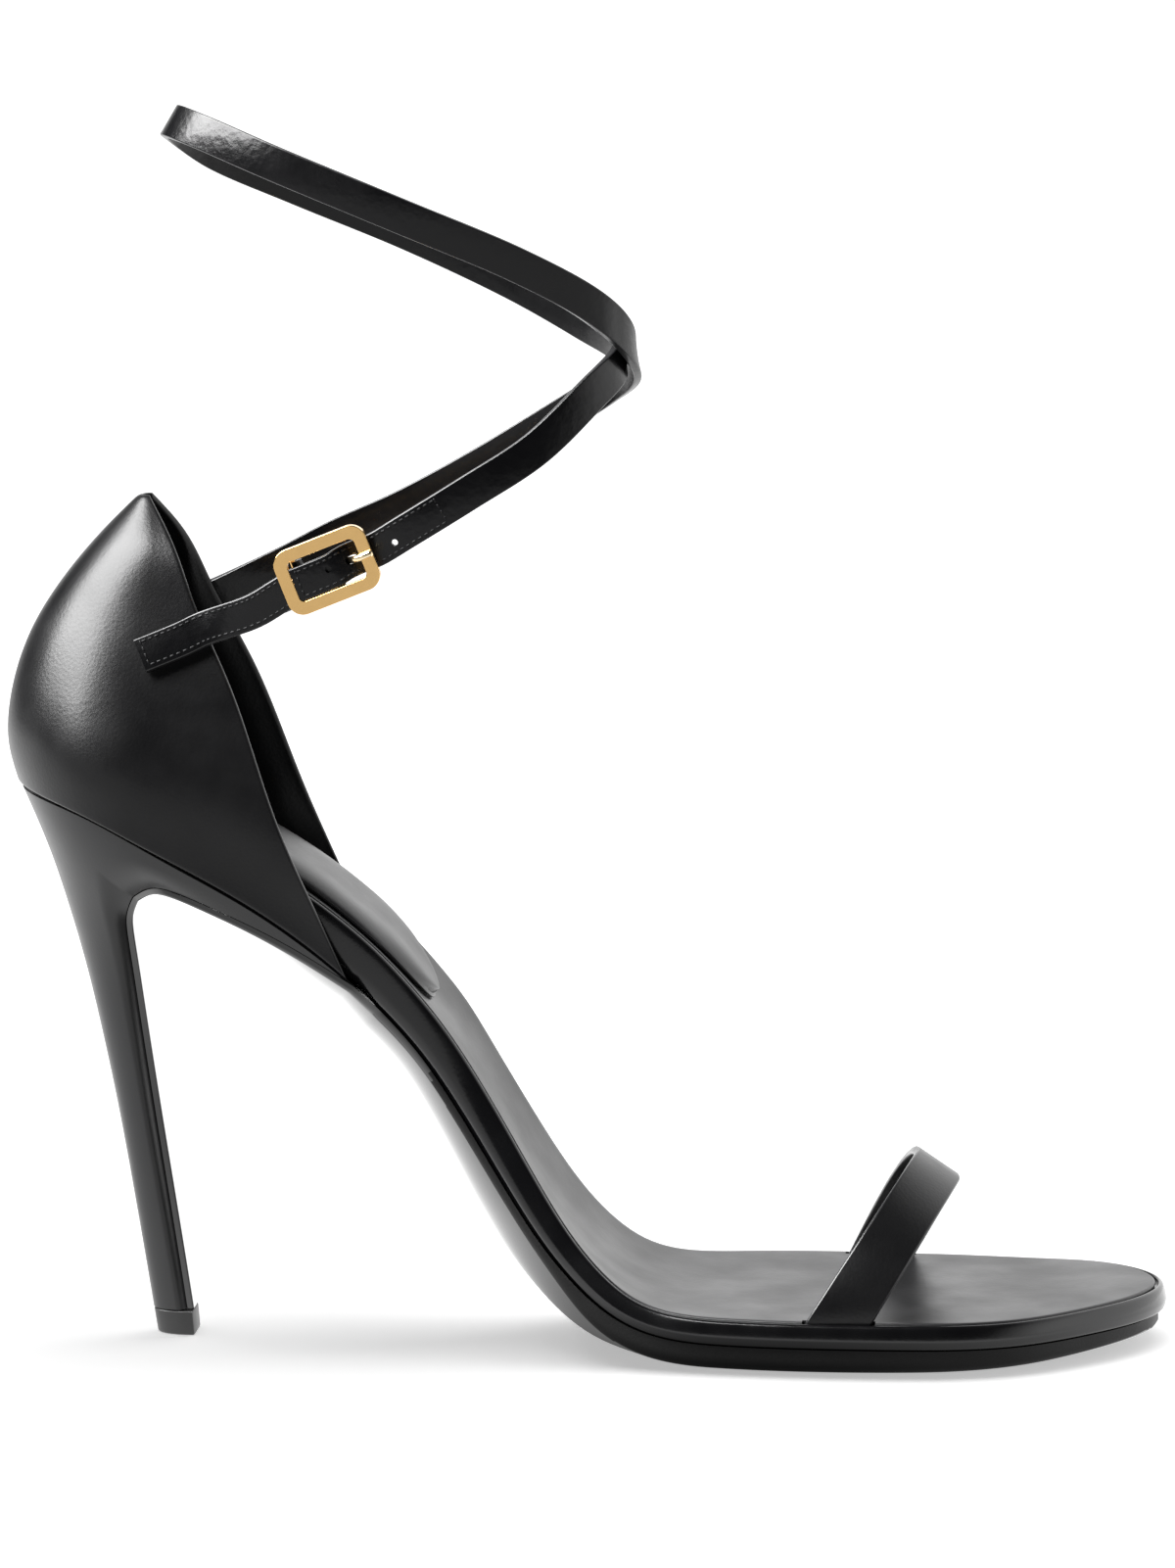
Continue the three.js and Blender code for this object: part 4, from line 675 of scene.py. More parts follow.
# It goes on the outermost rows of faces along both sides, and on the toe's front, only more than 50 mm ahead
# of the heel's tip
face_middle = np.empty(len(sole.data.polygons) * 3)
sole.data.polygons.foreach_get("center", face_middle)
face_x, face_y, _ = face_middle.reshape(-1, 3).T * 1000
rim_x = on_bed(sole_along[:, 0], 0.0, sole_bottom(sole_along, 1.0)[:, 0])[:, 0]
face_along = np.interp(face_x, rim_x[::-1], sole_along[::-1, 0])
from_middle = np.abs(face_y - bed["middle"](face_along) * BALL_WIDTH)
sole_edge = from_middle > EDGE_SHARE * half_width(face_along, SOLE_INSET)
sole_edge |= face_along > sole_end - TOE_EDGE / BOARD_LENGTH
sole_edge &= face_x > EDGE_START
sole.data.polygons.foreach_set("material_index", sole_edge.astype(np.int32))
dress(sole, None, "sole", "outsole")

# Closed back
# A stiffened counter between two layers of black calf, cut to a peak behind and running forward
# in a point on both sides. Its edges are folded in, and it is lasted between board and heel.
COUNTER_HEIGHT = 56.0
COUNTER_RIM = 1.3
# Level by level: back and front end as shares of the board's length and the counter's height, the
# half-width as a share of the seat's width, and the depth of the round back as one of the length
COUNTER = {
    "up": [0.00, 0.20, 0.40, 0.60, 0.80, 0.93, 1.00],
    "back_x": [-0.1366, -0.1465, -0.1462, -0.1352, -0.1028, -0.0592, -0.0296],
    "back_z": [0.004, 0.140, 0.285, 0.460, 0.690, 0.889, 1.000],
    "front_x": [0.1666, 0.1338, 0.0981, 0.0629, 0.0239, 0.0005, -0.0207],
    "front_z": [-0.586, -0.321, 0.000, 0.366, 0.679, 0.881, 1.000],
    "half": [0.560, 0.583, 0.564, 0.470, 0.352, 0.214, 0.055],
    "deep": [0.136, 0.130, 0.124, 0.110, 0.086, 0.046, 0.010],
}
CROWDING = 1.75
BACK_OVERHANG = 2.4
COUNTER_REACH = 0.307
INNER_ADVANCE = 3.0
FOOT_BLEND = 0.35
DEEPEST = 0.8
counter = {name: spline(COUNTER["up"], COUNTER[name]) for name in list(COUNTER)[1:]}


def counter_chord(up):
    """Back and front end of a level in x and z, and the length between them."""
    size = np.array([BOARD_LENGTH, COUNTER_HEIGHT])
    behind = np.stack([counter["back_x"](up), counter["back_z"](up)], -1) * size + [0, HEEL_HEIGHT]
    ahead = np.stack([counter["front_x"](up), counter["front_z"](up)], -1) * size + [0, HEEL_HEIGHT]
    return behind, ahead, np.linalg.norm(ahead - behind, axis=-1)


def counter_outside(up, forward, sign):
    """Outside of the closed back: a level is a straight chord from back to front in the side
    view and a half ellipse in plan, and the lowest levels sag onto the board's underside."""
    behind, ahead, length = counter_chord(up)
    base_behind, base_ahead, _ = counter_chord(np.zeros_like(up))
    overhang = BACK_OVERHANG / BOARD_LENGTH
    along = -overhang + (COUNTER_REACH + overhang) * forward
    base = base_behind + (base_ahead - base_behind) * forward[..., None]
    point = behind + (ahead - behind) * forward[..., None]
    point = point + (seat_point(along)[..., ::2] - base) * ((1 - up) ** 2)[..., None]
    advance = np.where(sign > 0, INNER_ADVANCE * forward * (1 - up) ** 2, 0)
    foot = 1 - smooth(up, 0, FOOT_BLEND)
    low_width = side_width(along) + BOARD_BELLY + 1.4 * GAP + COUNTER_WALL
    full = counter["half"](up) * SEAT_WIDTH * (1 - foot) + low_width * foot
    deep = np.minimum(counter["deep"](up) * BOARD_LENGTH, DEEPEST * length)
    y = sign * full * round_end(forward * length, deep)
    return np.stack([point[..., 0] + 0.45 * advance, y, point[..., 1] - 0.3 * advance], -1)


def counter_at(up, share):
    """The same at a signed share of the way round from the back, its power crowding the back."""
    up, share = np.broadcast_arrays(np.clip(up, 0, 1), np.clip(share, -1, 1))
    return counter_outside(up, np.abs(share) ** CROWDING, np.where(share < 0, -1, 1))


def counter_normal(up, share, step=0.01):
    """Outward normal from central differences over both parameters."""
    rise = counter_at(up + step, share) - counter_at(up - step, share)
    run = counter_at(up, share + step) - counter_at(up, share - step)
    normal = np.cross(run, rise)
    normal /= np.linalg.norm(normal, axis=-1, keepdims=True)
    sign = np.where(share < 0, -1, 1)
    return normal * np.where(sign * normal[..., 1] - normal[..., 0] < 0, -1, 1)[..., None]


# Both parameters crowd at the edges, where the wall thins to the rim and is rounded over
close = np.array([0, 0.0006, 0.0015, 0.003, 0.005, 0.0075, 0.011, 0.016, 0.024])
counter_shares = np.concatenate([
    -1 + close, np.linspace(-0.965, 0.965, 150), (1 - close)[::-1]])[:, None]
counter_levels = np.concatenate([close, np.linspace(0.04, 0.96, 84), (1 - close)[::-1]])[None]
outside = counter_at(counter_levels, counter_shares)
out_normal = counter_normal(counter_levels, counter_shares)
length = counter_chord(counter_levels)[2]
from_edge = (1 - np.abs(counter_shares) ** CROWDING) * length
from_edge = np.minimum(from_edge, (1 - counter_levels) * COUNTER_HEIGHT)
from_edge = np.minimum(from_edge, counter_levels * COUNTER_HEIGHT)
thin = smooth(np.maximum(counter_levels, np.abs(counter_shares) ** 3), 0.75, 1)
wall = COUNTER_WALL + (COUNTER_RIM - COUNTER_WALL) * thin
fold = wall / 2 * (1 - round_end(from_edge, wall * 0.55))
counter_rings = np.concatenate([outside - out_normal * fold[..., None],
                                (outside - out_normal * (wall - fold)[..., None])[:, ::-1]], 1)
closed_back = shell("closed_back_calf", counter_rings, ends=False)
# Smooth calf: a satin finish that shows a broad soft highlight and only a breath of grain
smooth_calf = leather("smooth_calf_leather", "#050506", "#0a0a0b", (0.29, 0.36), 0.7, 0.014,
                      **{"Specular IOR Level": 0.36})
dress(closed_back, smooth_calf, "calf", "counter")

# Toe strap
# Two layers of calf folded over a tape, arched over the toes and leaning forward, with both feet
# let into slots of the board.
TOE_RISE = 23.4
TOE_LEAN_REAR = 16.6
TOE_LEAN_FRONT = 12.2
TOE_TILT = 0.12
TOE_BOW = 1.8
TOE_EASING = 0.5

# Polished calf: glazed on the roll to a soft shine over flattened pores
strap_calf = leather("strap_calf_leather", "#040405", "#080809", (0.21, 0.29), 1.6, 0.035,
                     **{"Specular IOR Level": 0.3, "Coat Weight": 0.12, "Coat Roughness": 0.1})
# Edge paint: acrylic, dried to a smooth grey-black bead that catches the light
edge_paint = leather("acrylic_edge_paint", "#0b0b0c", "#141416", (0.26, 0.38), 1.2, 0.02,
                     **{"Coat Weight": 0.2, "Coat Roughness": 0.2})


def sweep(name, centre, across, normal, width, thickness, easing, skin=strap_calf):
    """A flat strap: at every station a rounded rectangle of a width and a thickness, its corners
    quarter circles of the easing, on the directions across and normal. Of the 24 faces round a
    station, those on the two cut edges get the edge paint."""
    turn = np.linspace(0, np.pi / 2, 6)
    corner = np.stack([np.cos(turn), np.sin(turn)], -1) * easing
    width = np.broadcast_to(width, len(centre))[:, None]
    outline_x, outline_y = [], []
    for quarter, (side, up) in enumerate([(1, 1), (-1, 1), (-1, -1), (1, -1)]):
        part = corner[::-1] if quarter % 2 else corner
        level = up * (thickness / 2 - easing + part[None, :, 1])
        outline_x.append(side * (width / 2 - easing + part[None, :, 0]))
        outline_y.append(np.broadcast_to(level, (len(centre), 6)))
    wide, thick = np.concatenate(outline_x, 1)[..., None], np.concatenate(outline_y, 1)[..., None]
    made = shell(name, centre[:, None] + across[:, None] * wide + normal[:, None] * thick)
    painted = np.zeros(len(made.data.polygons), np.int32)
    side = np.abs((np.arange(24) + 6.5) % 12 - 6) < 4
    painted[:24 * (len(centre) - 1)] = np.tile(side, len(centre) - 1)
    made.data.materials.append(skin)
    made.data.materials.append(edge_paint)
    made.data.polygons.foreach_set("material_index", painted)
    return made


def unit(vectors):
    """The vectors, each divided by its length."""
    return vectors / np.linalg.norm(vectors, axis=-1, keepdims=True)


# Both edges go half a turn from foot to foot, the rear one higher and leaning further forward
turns = np.linspace(0, np.pi, 140)[:, None]
lift_share = np.sin(turns)
bow = TOE_BOW * np.minimum(0, np.sin(2 * turns))
arch_x = strap_foot[0] - TOE_STRAP_SKEW * np.cos(turns) + bow
arch_y = strap_foot[1] - strap_reach * np.cos(turns)
toe_rear = np.concatenate([arch_x - TOE_STRAP_WIDTH / 2 + TOE_LEAN_REAR * lift_share, arch_y,
                           strap_foot[2] + (1 + TOE_TILT) * TOE_RISE * lift_share], 1)
toe_front = np.concatenate([arch_x + TOE_STRAP_WIDTH / 2 + TOE_LEAN_FRONT * lift_share, arch_y,
                            strap_foot[2] + (1 - TOE_TILT) * TOE_RISE * lift_share], 1)
sunk = np.array([[0, 0, -TOE_STRAP_DEPTH]])
toe_rear = np.concatenate([toe_rear[:1] + sunk, toe_rear, toe_rear[-1:] + sunk])
toe_front = np.concatenate([toe_front[:1] + sunk, toe_front, toe_front[-1:] + sunk])
toe_centre = (toe_rear + toe_front) / 2
toe_across = unit(toe_front - toe_rear)
toe_run = np.gradient(toe_centre, axis=0)
toe_normal = unit(np.cross(toe_run, toe_across))
toe_strap = sweep("toe_strap_calf", toe_centre, toe_across, toe_normal,
                  np.linalg.norm(toe_front - toe_rear, axis=1), TOE_STRAP_THICKNESS, TOE_EASING,
                  smooth_calf)
dress(toe_strap, None, "strap", "toe_strap")

# Buckle strap
# A short strap of two layers of polished calf, stitched to the outside of the closed back, and
# folded round the buckle's pin to an eye with a slot for the prong.
STRAP_WIDTH = 6.5
STRAP_THICKNESS = 1.6
BUCKLE_STRAP_THICKNESS = 1.9
BUCKLE_TILT = np.radians(22)
BUCKLE_AT = np.array([31.65, -25.1, 149.55])
PIN_BACK = 6.0
PIN_DEPTH = 3.4
PIN_DIAMETER = 1.2
SEAM_GAP = 0.45
BUCKLE_STRAP_EASING = 0.32
BUCKLE_STATION_GAP = 0.5
FOLD_THICKNESS = 0.9
FOLD_EASING = 0.2
FOLD_OVER_PIN = 0.45
UNDERLAY_THICKNESS = 0.8
UNDERLAY_DEPTH = 1.9


def by_buckle(along, depth, up=0.0):
    """Point beside the buckle: along its length, inwards from its middle plane, up its width."""
    along, depth, up = np.broadcast_arrays(*(np.asarray(v, float) for v in (along, depth, up)))
    cos, sin = np.cos(BUCKLE_TILT), np.sin(BUCKLE_TILT)
    return BUCKLE_AT + np.stack([along * cos - up * sin, depth, along * sin + up * cos], -1)


def flow(knots, even=False):
    """Catmull-Rom curve through knots, its knot times the square roots of the chords, or all 1 if
    even. Returns the function that gives its points, at whole numbers the knots themselves."""
    ahead, behind = 2 * knots[-1] - knots[-2], 2 * knots[0] - knots[1]
    full = np.concatenate([[behind], knots, [ahead]])
    chords = np.linalg.norm(np.diff(full, axis=0), axis=1)
    time = np.ones(len(chords)) if even else np.sqrt(chords)

    def point(t):
        i = np.clip(np.floor(t).astype(int), 0, len(knots) - 2)
        w = (t - i)[:, None]
        a, b, c, d = (full[i + k] for k in range(4))
        ab, bc, cd = (time[i + k][:, None] for k in range(3))
        leave = ((b - a) / ab - (c - a) / (ab + bc) + (c - b) / bc) * bc
        arrive = ((c - b) / bc - (d - b) / (bc + cd) + (d - c) / cd) * bc
        return (b + leave * w + (3 * (c - b) - 2 * leave - arrive) * w**2
                + (2 * (b - c) + leave + arrive) * w**3)

    return point


def strap_line(knots, turns, spacing, side):
    """Even stations along the straps' curve: centre, across and outward normal, the across turned
    square to the run."""
    curve, widths = flow(knots), flow(turns, even=True)
    fine = np.linspace(0, len(knots) - 1, 4000)
    run = np.concatenate([[0], np.cumsum(np.linalg.norm(np.diff(curve(fine), axis=0), axis=1))])
    stations = np.linspace(0, run[-1], int(run[-1] / spacing) + 1)
    t = np.interp(stations, run, fine)
    centre = curve(t)
    tangent = unit(curve(t + 1e-3) - curve(t - 1e-3))
    across = widths(t)
    across = unit(across - tangent * (across * tangent).sum(1, keepdims=True))
    return centre, across, unit(np.cross(across, tangent)) * side


def knot_turns(knots, leans, faces, side):
    """Direction of the strap's width at each knot: square to the seam's normal, or upright, leaned
    towards the toe and turned square to the run."""
    padded = np.concatenate([knots[:1], knots, knots[-1:]])
    run = unit(padded[2:] - padded[:-2])
    upright = np.stack([np.sin(leans), np.zeros_like(leans), np.cos(leans)], -1)
    upright = unit(upright - run * (upright * run).sum(1, keepdims=True))
    upright[:len(faces)] = unit(np.cross(faces, run[:len(faces)]) * -side)
    return upright


def seam(rows, sign, thickness):
    """Knots on the closed back's outside, and its normals there."""
    up, forward = np.array(rows).T
    face = counter_normal(up, sign * forward ** (1 / CROWDING))
    point = counter_outside(up, forward, np.full(len(up), sign))
    return point + face * (SEAM_GAP + thickness / 2), face


# Points of the seam: share of the counter's height, and of the way from its back to its front
OUTER_SEAM = [(0.6475, 0.605), (0.6975, 0.840), (0.7275, 0.995)]
eye = PIN_DIAMETER / 2 + GAP
seam_knots, seam_faces = seam(OUTER_SEAM, -1, BUCKLE_STRAP_THICKNESS)
buckle_knots = np.concatenate([seam_knots, by_buckle(
    [-16.5, -11, -PIN_BACK - eye], [PIN_DEPTH + 1.5, PIN_DEPTH + 0.4, PIN_DEPTH], [-2.5, -1.6, -0.8])])
buckle_turns = knot_turns(buckle_knots, np.full(6, -BUCKLE_TILT), seam_faces, -1)
short = strap_line(buckle_knots, buckle_turns, BUCKLE_STATION_GAP, -1)
buckle_strap = sweep("buckle_strap_calf", *short, STRAP_WIDTH, BUCKLE_STRAP_THICKNESS,
                     BUCKLE_STRAP_EASING)
dress(buckle_strap, None, "strap", "buckle_strap")

# The fold round the pin, in two parts with a place up the buckle and a width, one on each side of
# the prong, and the skived end that lies under the tip
bend = np.radians(np.linspace(90, 290, 15))
fold_radius = eye + FOLD_OVER_PIN
for name, fold_up, fold_width in (("low", -2.6, 2.3), ("high", 2.0, 3.0)):
    fold_centre = by_buckle(-PIN_BACK + fold_radius * np.sin(bend - np.pi / 2),
                            PIN_DEPTH - fold_radius * np.cos(bend - np.pi / 2), fold_up)
    fold_run = np.gradient(fold_centre, axis=0)
    fold_across = np.broadcast_to(unit(by_buckle(0, 0, 1) - by_buckle(0, 0, 0)), fold_centre.shape)
    fold = sweep(f"buckle_strap_fold_{name}", fold_centre, fold_across,
                 unit(np.cross(fold_run, fold_across)), fold_width, FOLD_THICKNESS, FOLD_EASING)
    dress(fold, None, "strap")
under_centre = by_buckle(np.linspace(-13, 1.5, 30), PIN_DEPTH + UNDERLAY_DEPTH,
                         np.linspace(-1.9, -1.1, 30))
under_across = np.broadcast_to(fold_across[0], under_centre.shape)
under_normal = unit(np.cross(np.gradient(under_centre, axis=0), under_across))
underlay = sweep("buckle_strap_underlay", under_centre, under_across, under_normal, STRAP_WIDTH,
                 UNDERLAY_THICKNESS, FOLD_EASING)
dress(underlay, None, "strap")

# Ankle strap
# One long strap of the same make. It is stitched to the inner side of the closed back, crosses in
# front of the ankle, goes round behind it, crosses again and is fastened by the prong.
ANKLE_LENGTH = 85.7
ANKLE_WIDTH = 46.8
ANKLE_AT = 42.9
ANKLE_RISE = 82.0
HOLE_START = 0.3
HOLE_SPACING = 6.6
HOLE_DIAMETER = 1.2
PRONG_HOLE = HOLE_START + 0.7 * HOLE_SPACING
PRONG_DIAMETER = 1.3
BUCKLE_THICKNESS = 2.0
HOLE_ROOM = 0.12
PRONG_SLOT = 2.4
STRAP_EASING = 0.3
STATION_GAP = 0.8
INNER_SEAM = [(0.6825, 0.595), (0.7200, 0.755), (0.7500, 0.950)]
# Knots of the wrap: degrees round the ankle, share of the rise above the buckle, thicknesses of
# strap further out, and degrees of lean
WRAP = np.array([
    (124, -0.050, 0.00, -26), (110, 0.008, 0.00, -27), (93, 0.076, 0.00, -27), (74, 0.170, 0.00, -27),
    (52, 0.281, 0.15, -24), (30, 0.372, 0.50, -17), (8, 0.436, 0.70, -11), (-12, 0.510, 0.70, -4),
    (-32, 0.594, 0.40, 8), (-56, 0.688, 0.00, 19), (-87, 0.803, 0.00, 24), (-120, 0.916, 0.00, 25),
    (-145, 0.977, 0.00, 28), (-168, 0.996, 0.00, 31), (-190, 0.976, 0.00, 30), (-213, 0.908, 0.00, 27),
    (-240, 0.822, 0.00, 25), (-270, 0.712, 0.00, 23), (-298, 0.602, 0.00, 17), (-322, 0.522, -0.40, 7),
    (-345, 0.480, -0.70, -4), (-368, 0.447, -0.70, -11), (-390, 0.384, -0.40, -20),
    (-411, 0.268, -0.10, -25), (-430, 0.172, 0.00, -25), (-446, 0.084, 0.00, -24),
])
turn, climb, out, lean = WRAP.T
turn, lean = np.radians(turn), np.radians(lean)
away = unit(np.stack([np.cos(turn) / ANKLE_LENGTH, np.sin(turn) / ANKLE_WIDTH,
                      np.zeros_like(turn)], -1))
wrap_knots = np.stack([ANKLE_AT + ANKLE_LENGTH / 2 * np.cos(turn), ANKLE_WIDTH / 2 * np.sin(turn),
                       BUCKLE_AT[2] + climb * ANKLE_RISE], -1)
wrap_knots += away * (out * STRAP_THICKNESS)[:, None]
behind_bar = BUCKLE_THICKNESS / 2 + 2 * GAP + STRAP_THICKNESS / 2
tuck = by_buckle([9.6, 7, 5.4, 3.2, 1, -2.5, -6.65],
                 [behind_bar, behind_bar, 1.9, 0.9, 0.15, -0.1, -0.1],
                 [0, 0, 0, -0.1, -0.5, -0.6, -0.6])
seam_knots, seam_faces = seam(INNER_SEAM, 1, STRAP_THICKNESS)
ankle_knots = np.concatenate([seam_knots, wrap_knots, tuck])
leans = np.concatenate([np.zeros(3), lean, np.full(7, -BUCKLE_TILT)])
ankle_turns = knot_turns(ankle_knots, leans, seam_faces, 1)
long = strap_line(ankle_knots, ankle_turns, STATION_GAP, 1)
ankle_strap = sweep("ankle_strap_calf", *long, STRAP_WIDTH, STRAP_THICKNESS, STRAP_EASING)


def punch(along, radius, length=0.0, depth=4.0):
    """A round-ended plug square to the buckle, in to a depth: two half circles with a straight
    between them."""
    turn = np.linspace(0, 2 * np.pi, 33)[:-1]
    reach = np.maximum(0, length / 2 - radius) * np.sign(np.cos(turn) + 1e-9)
    plan = along + reach + radius * np.cos(turn)
    rings = [by_buckle(plan, level, radius * np.sin(turn)) for level in (-4.0, depth)]
    return shell("plug", np.array(rings))


carve(ankle_strap, [punch(HOLE_START, HOLE_DIAMETER / 2, depth=0.5),
                    punch(PRONG_HOLE, PRONG_DIAMETER / 2 + HOLE_ROOM, PRONG_SLOT),
                    punch(HOLE_START + 2 * HOLE_SPACING, HOLE_DIAMETER / 2)])
dress(ankle_strap, None, "strap", "ankle_strap")

# Stitching
# Waxed polyester thread, black on black, a millimetre in from the edges of both straps, with a row across at
# the seam end of the buckle strap and at both ends of the ankle strap's stitched tip.
STITCH_PITCH = 1.3
THREAD_THICKNESS = 0.38
THREAD_LIFT = 0.03
THREAD_SINK = 0.12
STITCH_MARGIN = 0.9
STITCH_END = 1.0
STITCH_TO_PIN = 1.5
STITCHED_TIP = 31.0
SMALL_SHARP_ANGLE = 80

# Waxed thread: finely ribbed, its wax rubbed down to a dim gleam
waxed_thread = leather("waxed_polyester_thread", "#060607", "#101012", (0.34, 0.5), 0.2, 0.02, 2.0,
                       **{"Specular IOR Level": 0.2})


def stitches(centre, across, normal, thickness, offset, first, last):
    """A row of stitches: capsules with an elliptic section, each sunk at both ends. A row runs
    along the strap at an offset across it, or, where the offset is a pair, across the strap from
    one offset to the other at the first distance along it."""
    run = np.concatenate([[0], np.cumsum(np.linalg.norm(np.diff(centre, axis=0), axis=1))])
    low, high = (first, last) if np.isscalar(offset) else offset
    starts = np.arange(low, high - STITCH_PITCH * 0.6, STITCH_PITCH)
    t, turn = np.meshgrid(np.linspace(0, 1, 9), np.linspace(0, 2 * np.pi, 9)[:-1], indexing="ij")
    at = starts[:, None] + 0.1 * STITCH_PITCH + t[None, :, 0] * STITCH_PITCH * 0.8
    along, beside = at, np.full_like(at, offset if np.isscalar(offset) else first)
    if not np.isscalar(offset):
        along, beside = beside, along

    def pick(field):
        return np.stack([np.interp(along, run, field[:, k]) for k in range(3)], -1)[:, :, None]

    swell = np.sqrt(np.clip(1 - (2 * t - 1) ** 4, 0, 1)) * THREAD_THICKNESS / 2
    base, side, up = pick(centre), pick(across), pick(normal)
    turned = side if np.isscalar(offset) else np.cross(side, up)
    height = thickness / 2 + THREAD_LIFT + swell * 0.6 * np.sin(turn)
    height = height - THREAD_SINK * (2 * t - 1) ** 4
    points = base + side * beside[:, :, None, None] + turned * (swell * np.cos(turn))[None, ..., None]
    return points + up * height[None, ..., None]


def gather(name, sets):
    """One mesh of many small tubes, each a grid of rings that closes at both ends."""
    points, faces, start = [], [], 0
    for grid in sets:
        for rings in grid:
            count, around = rings.shape[:2]
            step = np.arange(around)
            turn, row = (step + 1) % around, np.arange(count - 1)[:, None] * around
            quads = np.stack([row + step, row + turn, row + around + turn, row + around + step], -1)
            faces += (quads.reshape(-1, 4) + start).tolist()
            points.append(rings.reshape(-1, 3))
            start += count * around
    mesh = bpy.data.meshes.new(name)
    mesh.from_pydata((np.concatenate(points) / 1000).tolist(), [], faces)
    return settle(name, mesh, 0.001, SMALL_SHARP_ANGLE)


edge_in = STRAP_WIDTH / 2 - STITCH_MARGIN
short_run = np.linalg.norm(np.diff(short[0], axis=0), axis=1).sum()
long_run = np.linalg.norm(np.diff(long[0], axis=0), axis=1).sum()
rows = [stitches(*short, BUCKLE_STRAP_THICKNESS, side * edge_in, STITCH_END,
                 short_run - STITCH_TO_PIN)
        for side in (-1, 1)]
rows.append(stitches(*short, BUCKLE_STRAP_THICKNESS, (-edge_in, edge_in), STITCH_END, None))
tip_ends = (long_run - STITCHED_TIP, long_run - STITCH_END)
for side in (-1, 1):
    rows.append(stitches(*long, STRAP_THICKNESS, side * edge_in, *tip_ends))
for end in tip_ends:
    rows.append(stitches(*long, STRAP_THICKNESS, (-edge_in, edge_in), end, None))
thread = gather("strap_stitching", rows)
dress(thread, waxed_thread, "strap")

# Buckle
# A cast frame of polished warm gold, flat in front with eased edges, with two lugs behind that
# hold its hinge pin.
BUCKLE_LENGTH = 18.3
BUCKLE_HEIGHT = 12.7
BUCKLE_BAR = 2.4
PIN_INSET = 0.9
BEVEL = 0.1
OUTER_CORNER = 3.0
INNER_CORNER = 1.1
LUG_UP = 5.2
LUG_REACH = 1.15
LUG_DEPTH = 0.75
LUG_BACK = 0.3
LUG_START = 0.6
LUG_PAST_PIN = 0.9
HAIRLINE = 1 / 3
POLISH_CLOUD = 2.5


def metal(name, colour, rough, scratch):
    """Polished plating: metallic, with a faint hairline relief and a roughness that wanders."""
    made = bpy.data.materials.new(name)
    made.use_nodes = True
    tree = made.node_tree
    tree.nodes.clear()
    place = add_node(tree, "ShaderNodeTexCoord").outputs["Object"]
    clouds = add_node(tree, "ShaderNodeTexNoise", {
        "Vector": place, "Scale": 1000 / POLISH_CLOUD, "Detail": 3.0})
    lines = add_node(tree, "ShaderNodeTexNoise", {
        "Vector": place, "Scale": 1000 / HAIRLINE, "Detail": 2.0})
    tone = add_node(tree, "ShaderNodeMapRange", {
        "Value": clouds.outputs["Fac"], "From Min": 0.3, "From Max": 0.7,
        "To Min": rough[0], "To Max": rough[1]})
    bump = add_node(tree, "ShaderNodeBump", {"Height": lines.outputs["Fac"], "Distance": scratch / 1000})
    shader = add_node(tree, "ShaderNodeBsdfPrincipled", {
        "Base Color": linear(colour), "Metallic": 1.0, "Roughness": tone.outputs[0],
        "Normal": bump.outputs[0]})
    add_node(tree, "ShaderNodeOutputMaterial", {"Surface": shader.outputs[0]})
    return made


# Gold plating over cast brass: a warm mirror, softened a little by polishing
gold = metal("polished_gold_plating", "#fdd08a", (0.14, 0.2), 0.0003)
# The bar's section: each corner a quarter circle of the bevel, and a point more on the flats on
# both sides of it, which keeps their shading flat
ease_turn = np.concatenate([[0], np.linspace(0, np.pi / 2, 6), [np.pi / 2]])
ease_wide = BUCKLE_BAR / 2 - BEVEL + BEVEL * np.cos(ease_turn) - np.array([0, 0, 0, 0, 0, 0, 0, 0.05])
ease_thick = BUCKLE_THICKNESS / 2 - BEVEL + BEVEL * np.sin(ease_turn) - np.array([0.05, 0, 0, 0, 0, 0, 0, 0])
wide = np.concatenate([ease_wide, -ease_wide[::-1], -ease_wide, ease_wide[::-1]])
thick = np.concatenate([ease_thick, ease_thick[::-1], -ease_thick, -ease_thick[::-1]])
# It goes round four corners, whose radius grows from the inner rim to the outer
corner = INNER_CORNER + (OUTER_CORNER - INNER_CORNER) * (wide / BUCKLE_BAR + 0.5)
round_turn = np.concatenate([
    quarter * np.pi / 2 + np.linspace(0, np.pi / 2, 12) for quarter in range(4)])[:, None]
quarter_x = np.repeat([1, -1, -1, 1], 12)[:, None]
quarter_y = np.repeat([1, 1, -1, -1], 12)[:, None]
reach_x = BUCKLE_LENGTH / 2 - BUCKLE_BAR / 2 + wide - corner
reach_y = BUCKLE_HEIGHT / 2 - BUCKLE_BAR / 2 + wide - corner
frame_along = quarter_x * reach_x + corner * np.cos(round_turn)
frame_up = quarter_y * reach_y + corner * np.sin(round_turn)
ring = by_buckle(frame_along, thick, frame_up)
ring = np.concatenate([ring, ring[:1]])
buckle = shell("buckle_frame_gold", ring, ends=False)
dress(buckle, gold, "gold", "buckle_frame")

# The hinge pin and the two lugs that hold it behind the rear bar, each a rounded bar with its
# ends drawn in
bar_share = np.array([0, 0, 0.03, 0.97, 1, 1])
bar_size = np.array([0, 0.8, 1, 1, 0.8, 0])[:, None]
bar_turn = np.linspace(0, 2 * np.pi, 25)[:-1][None]


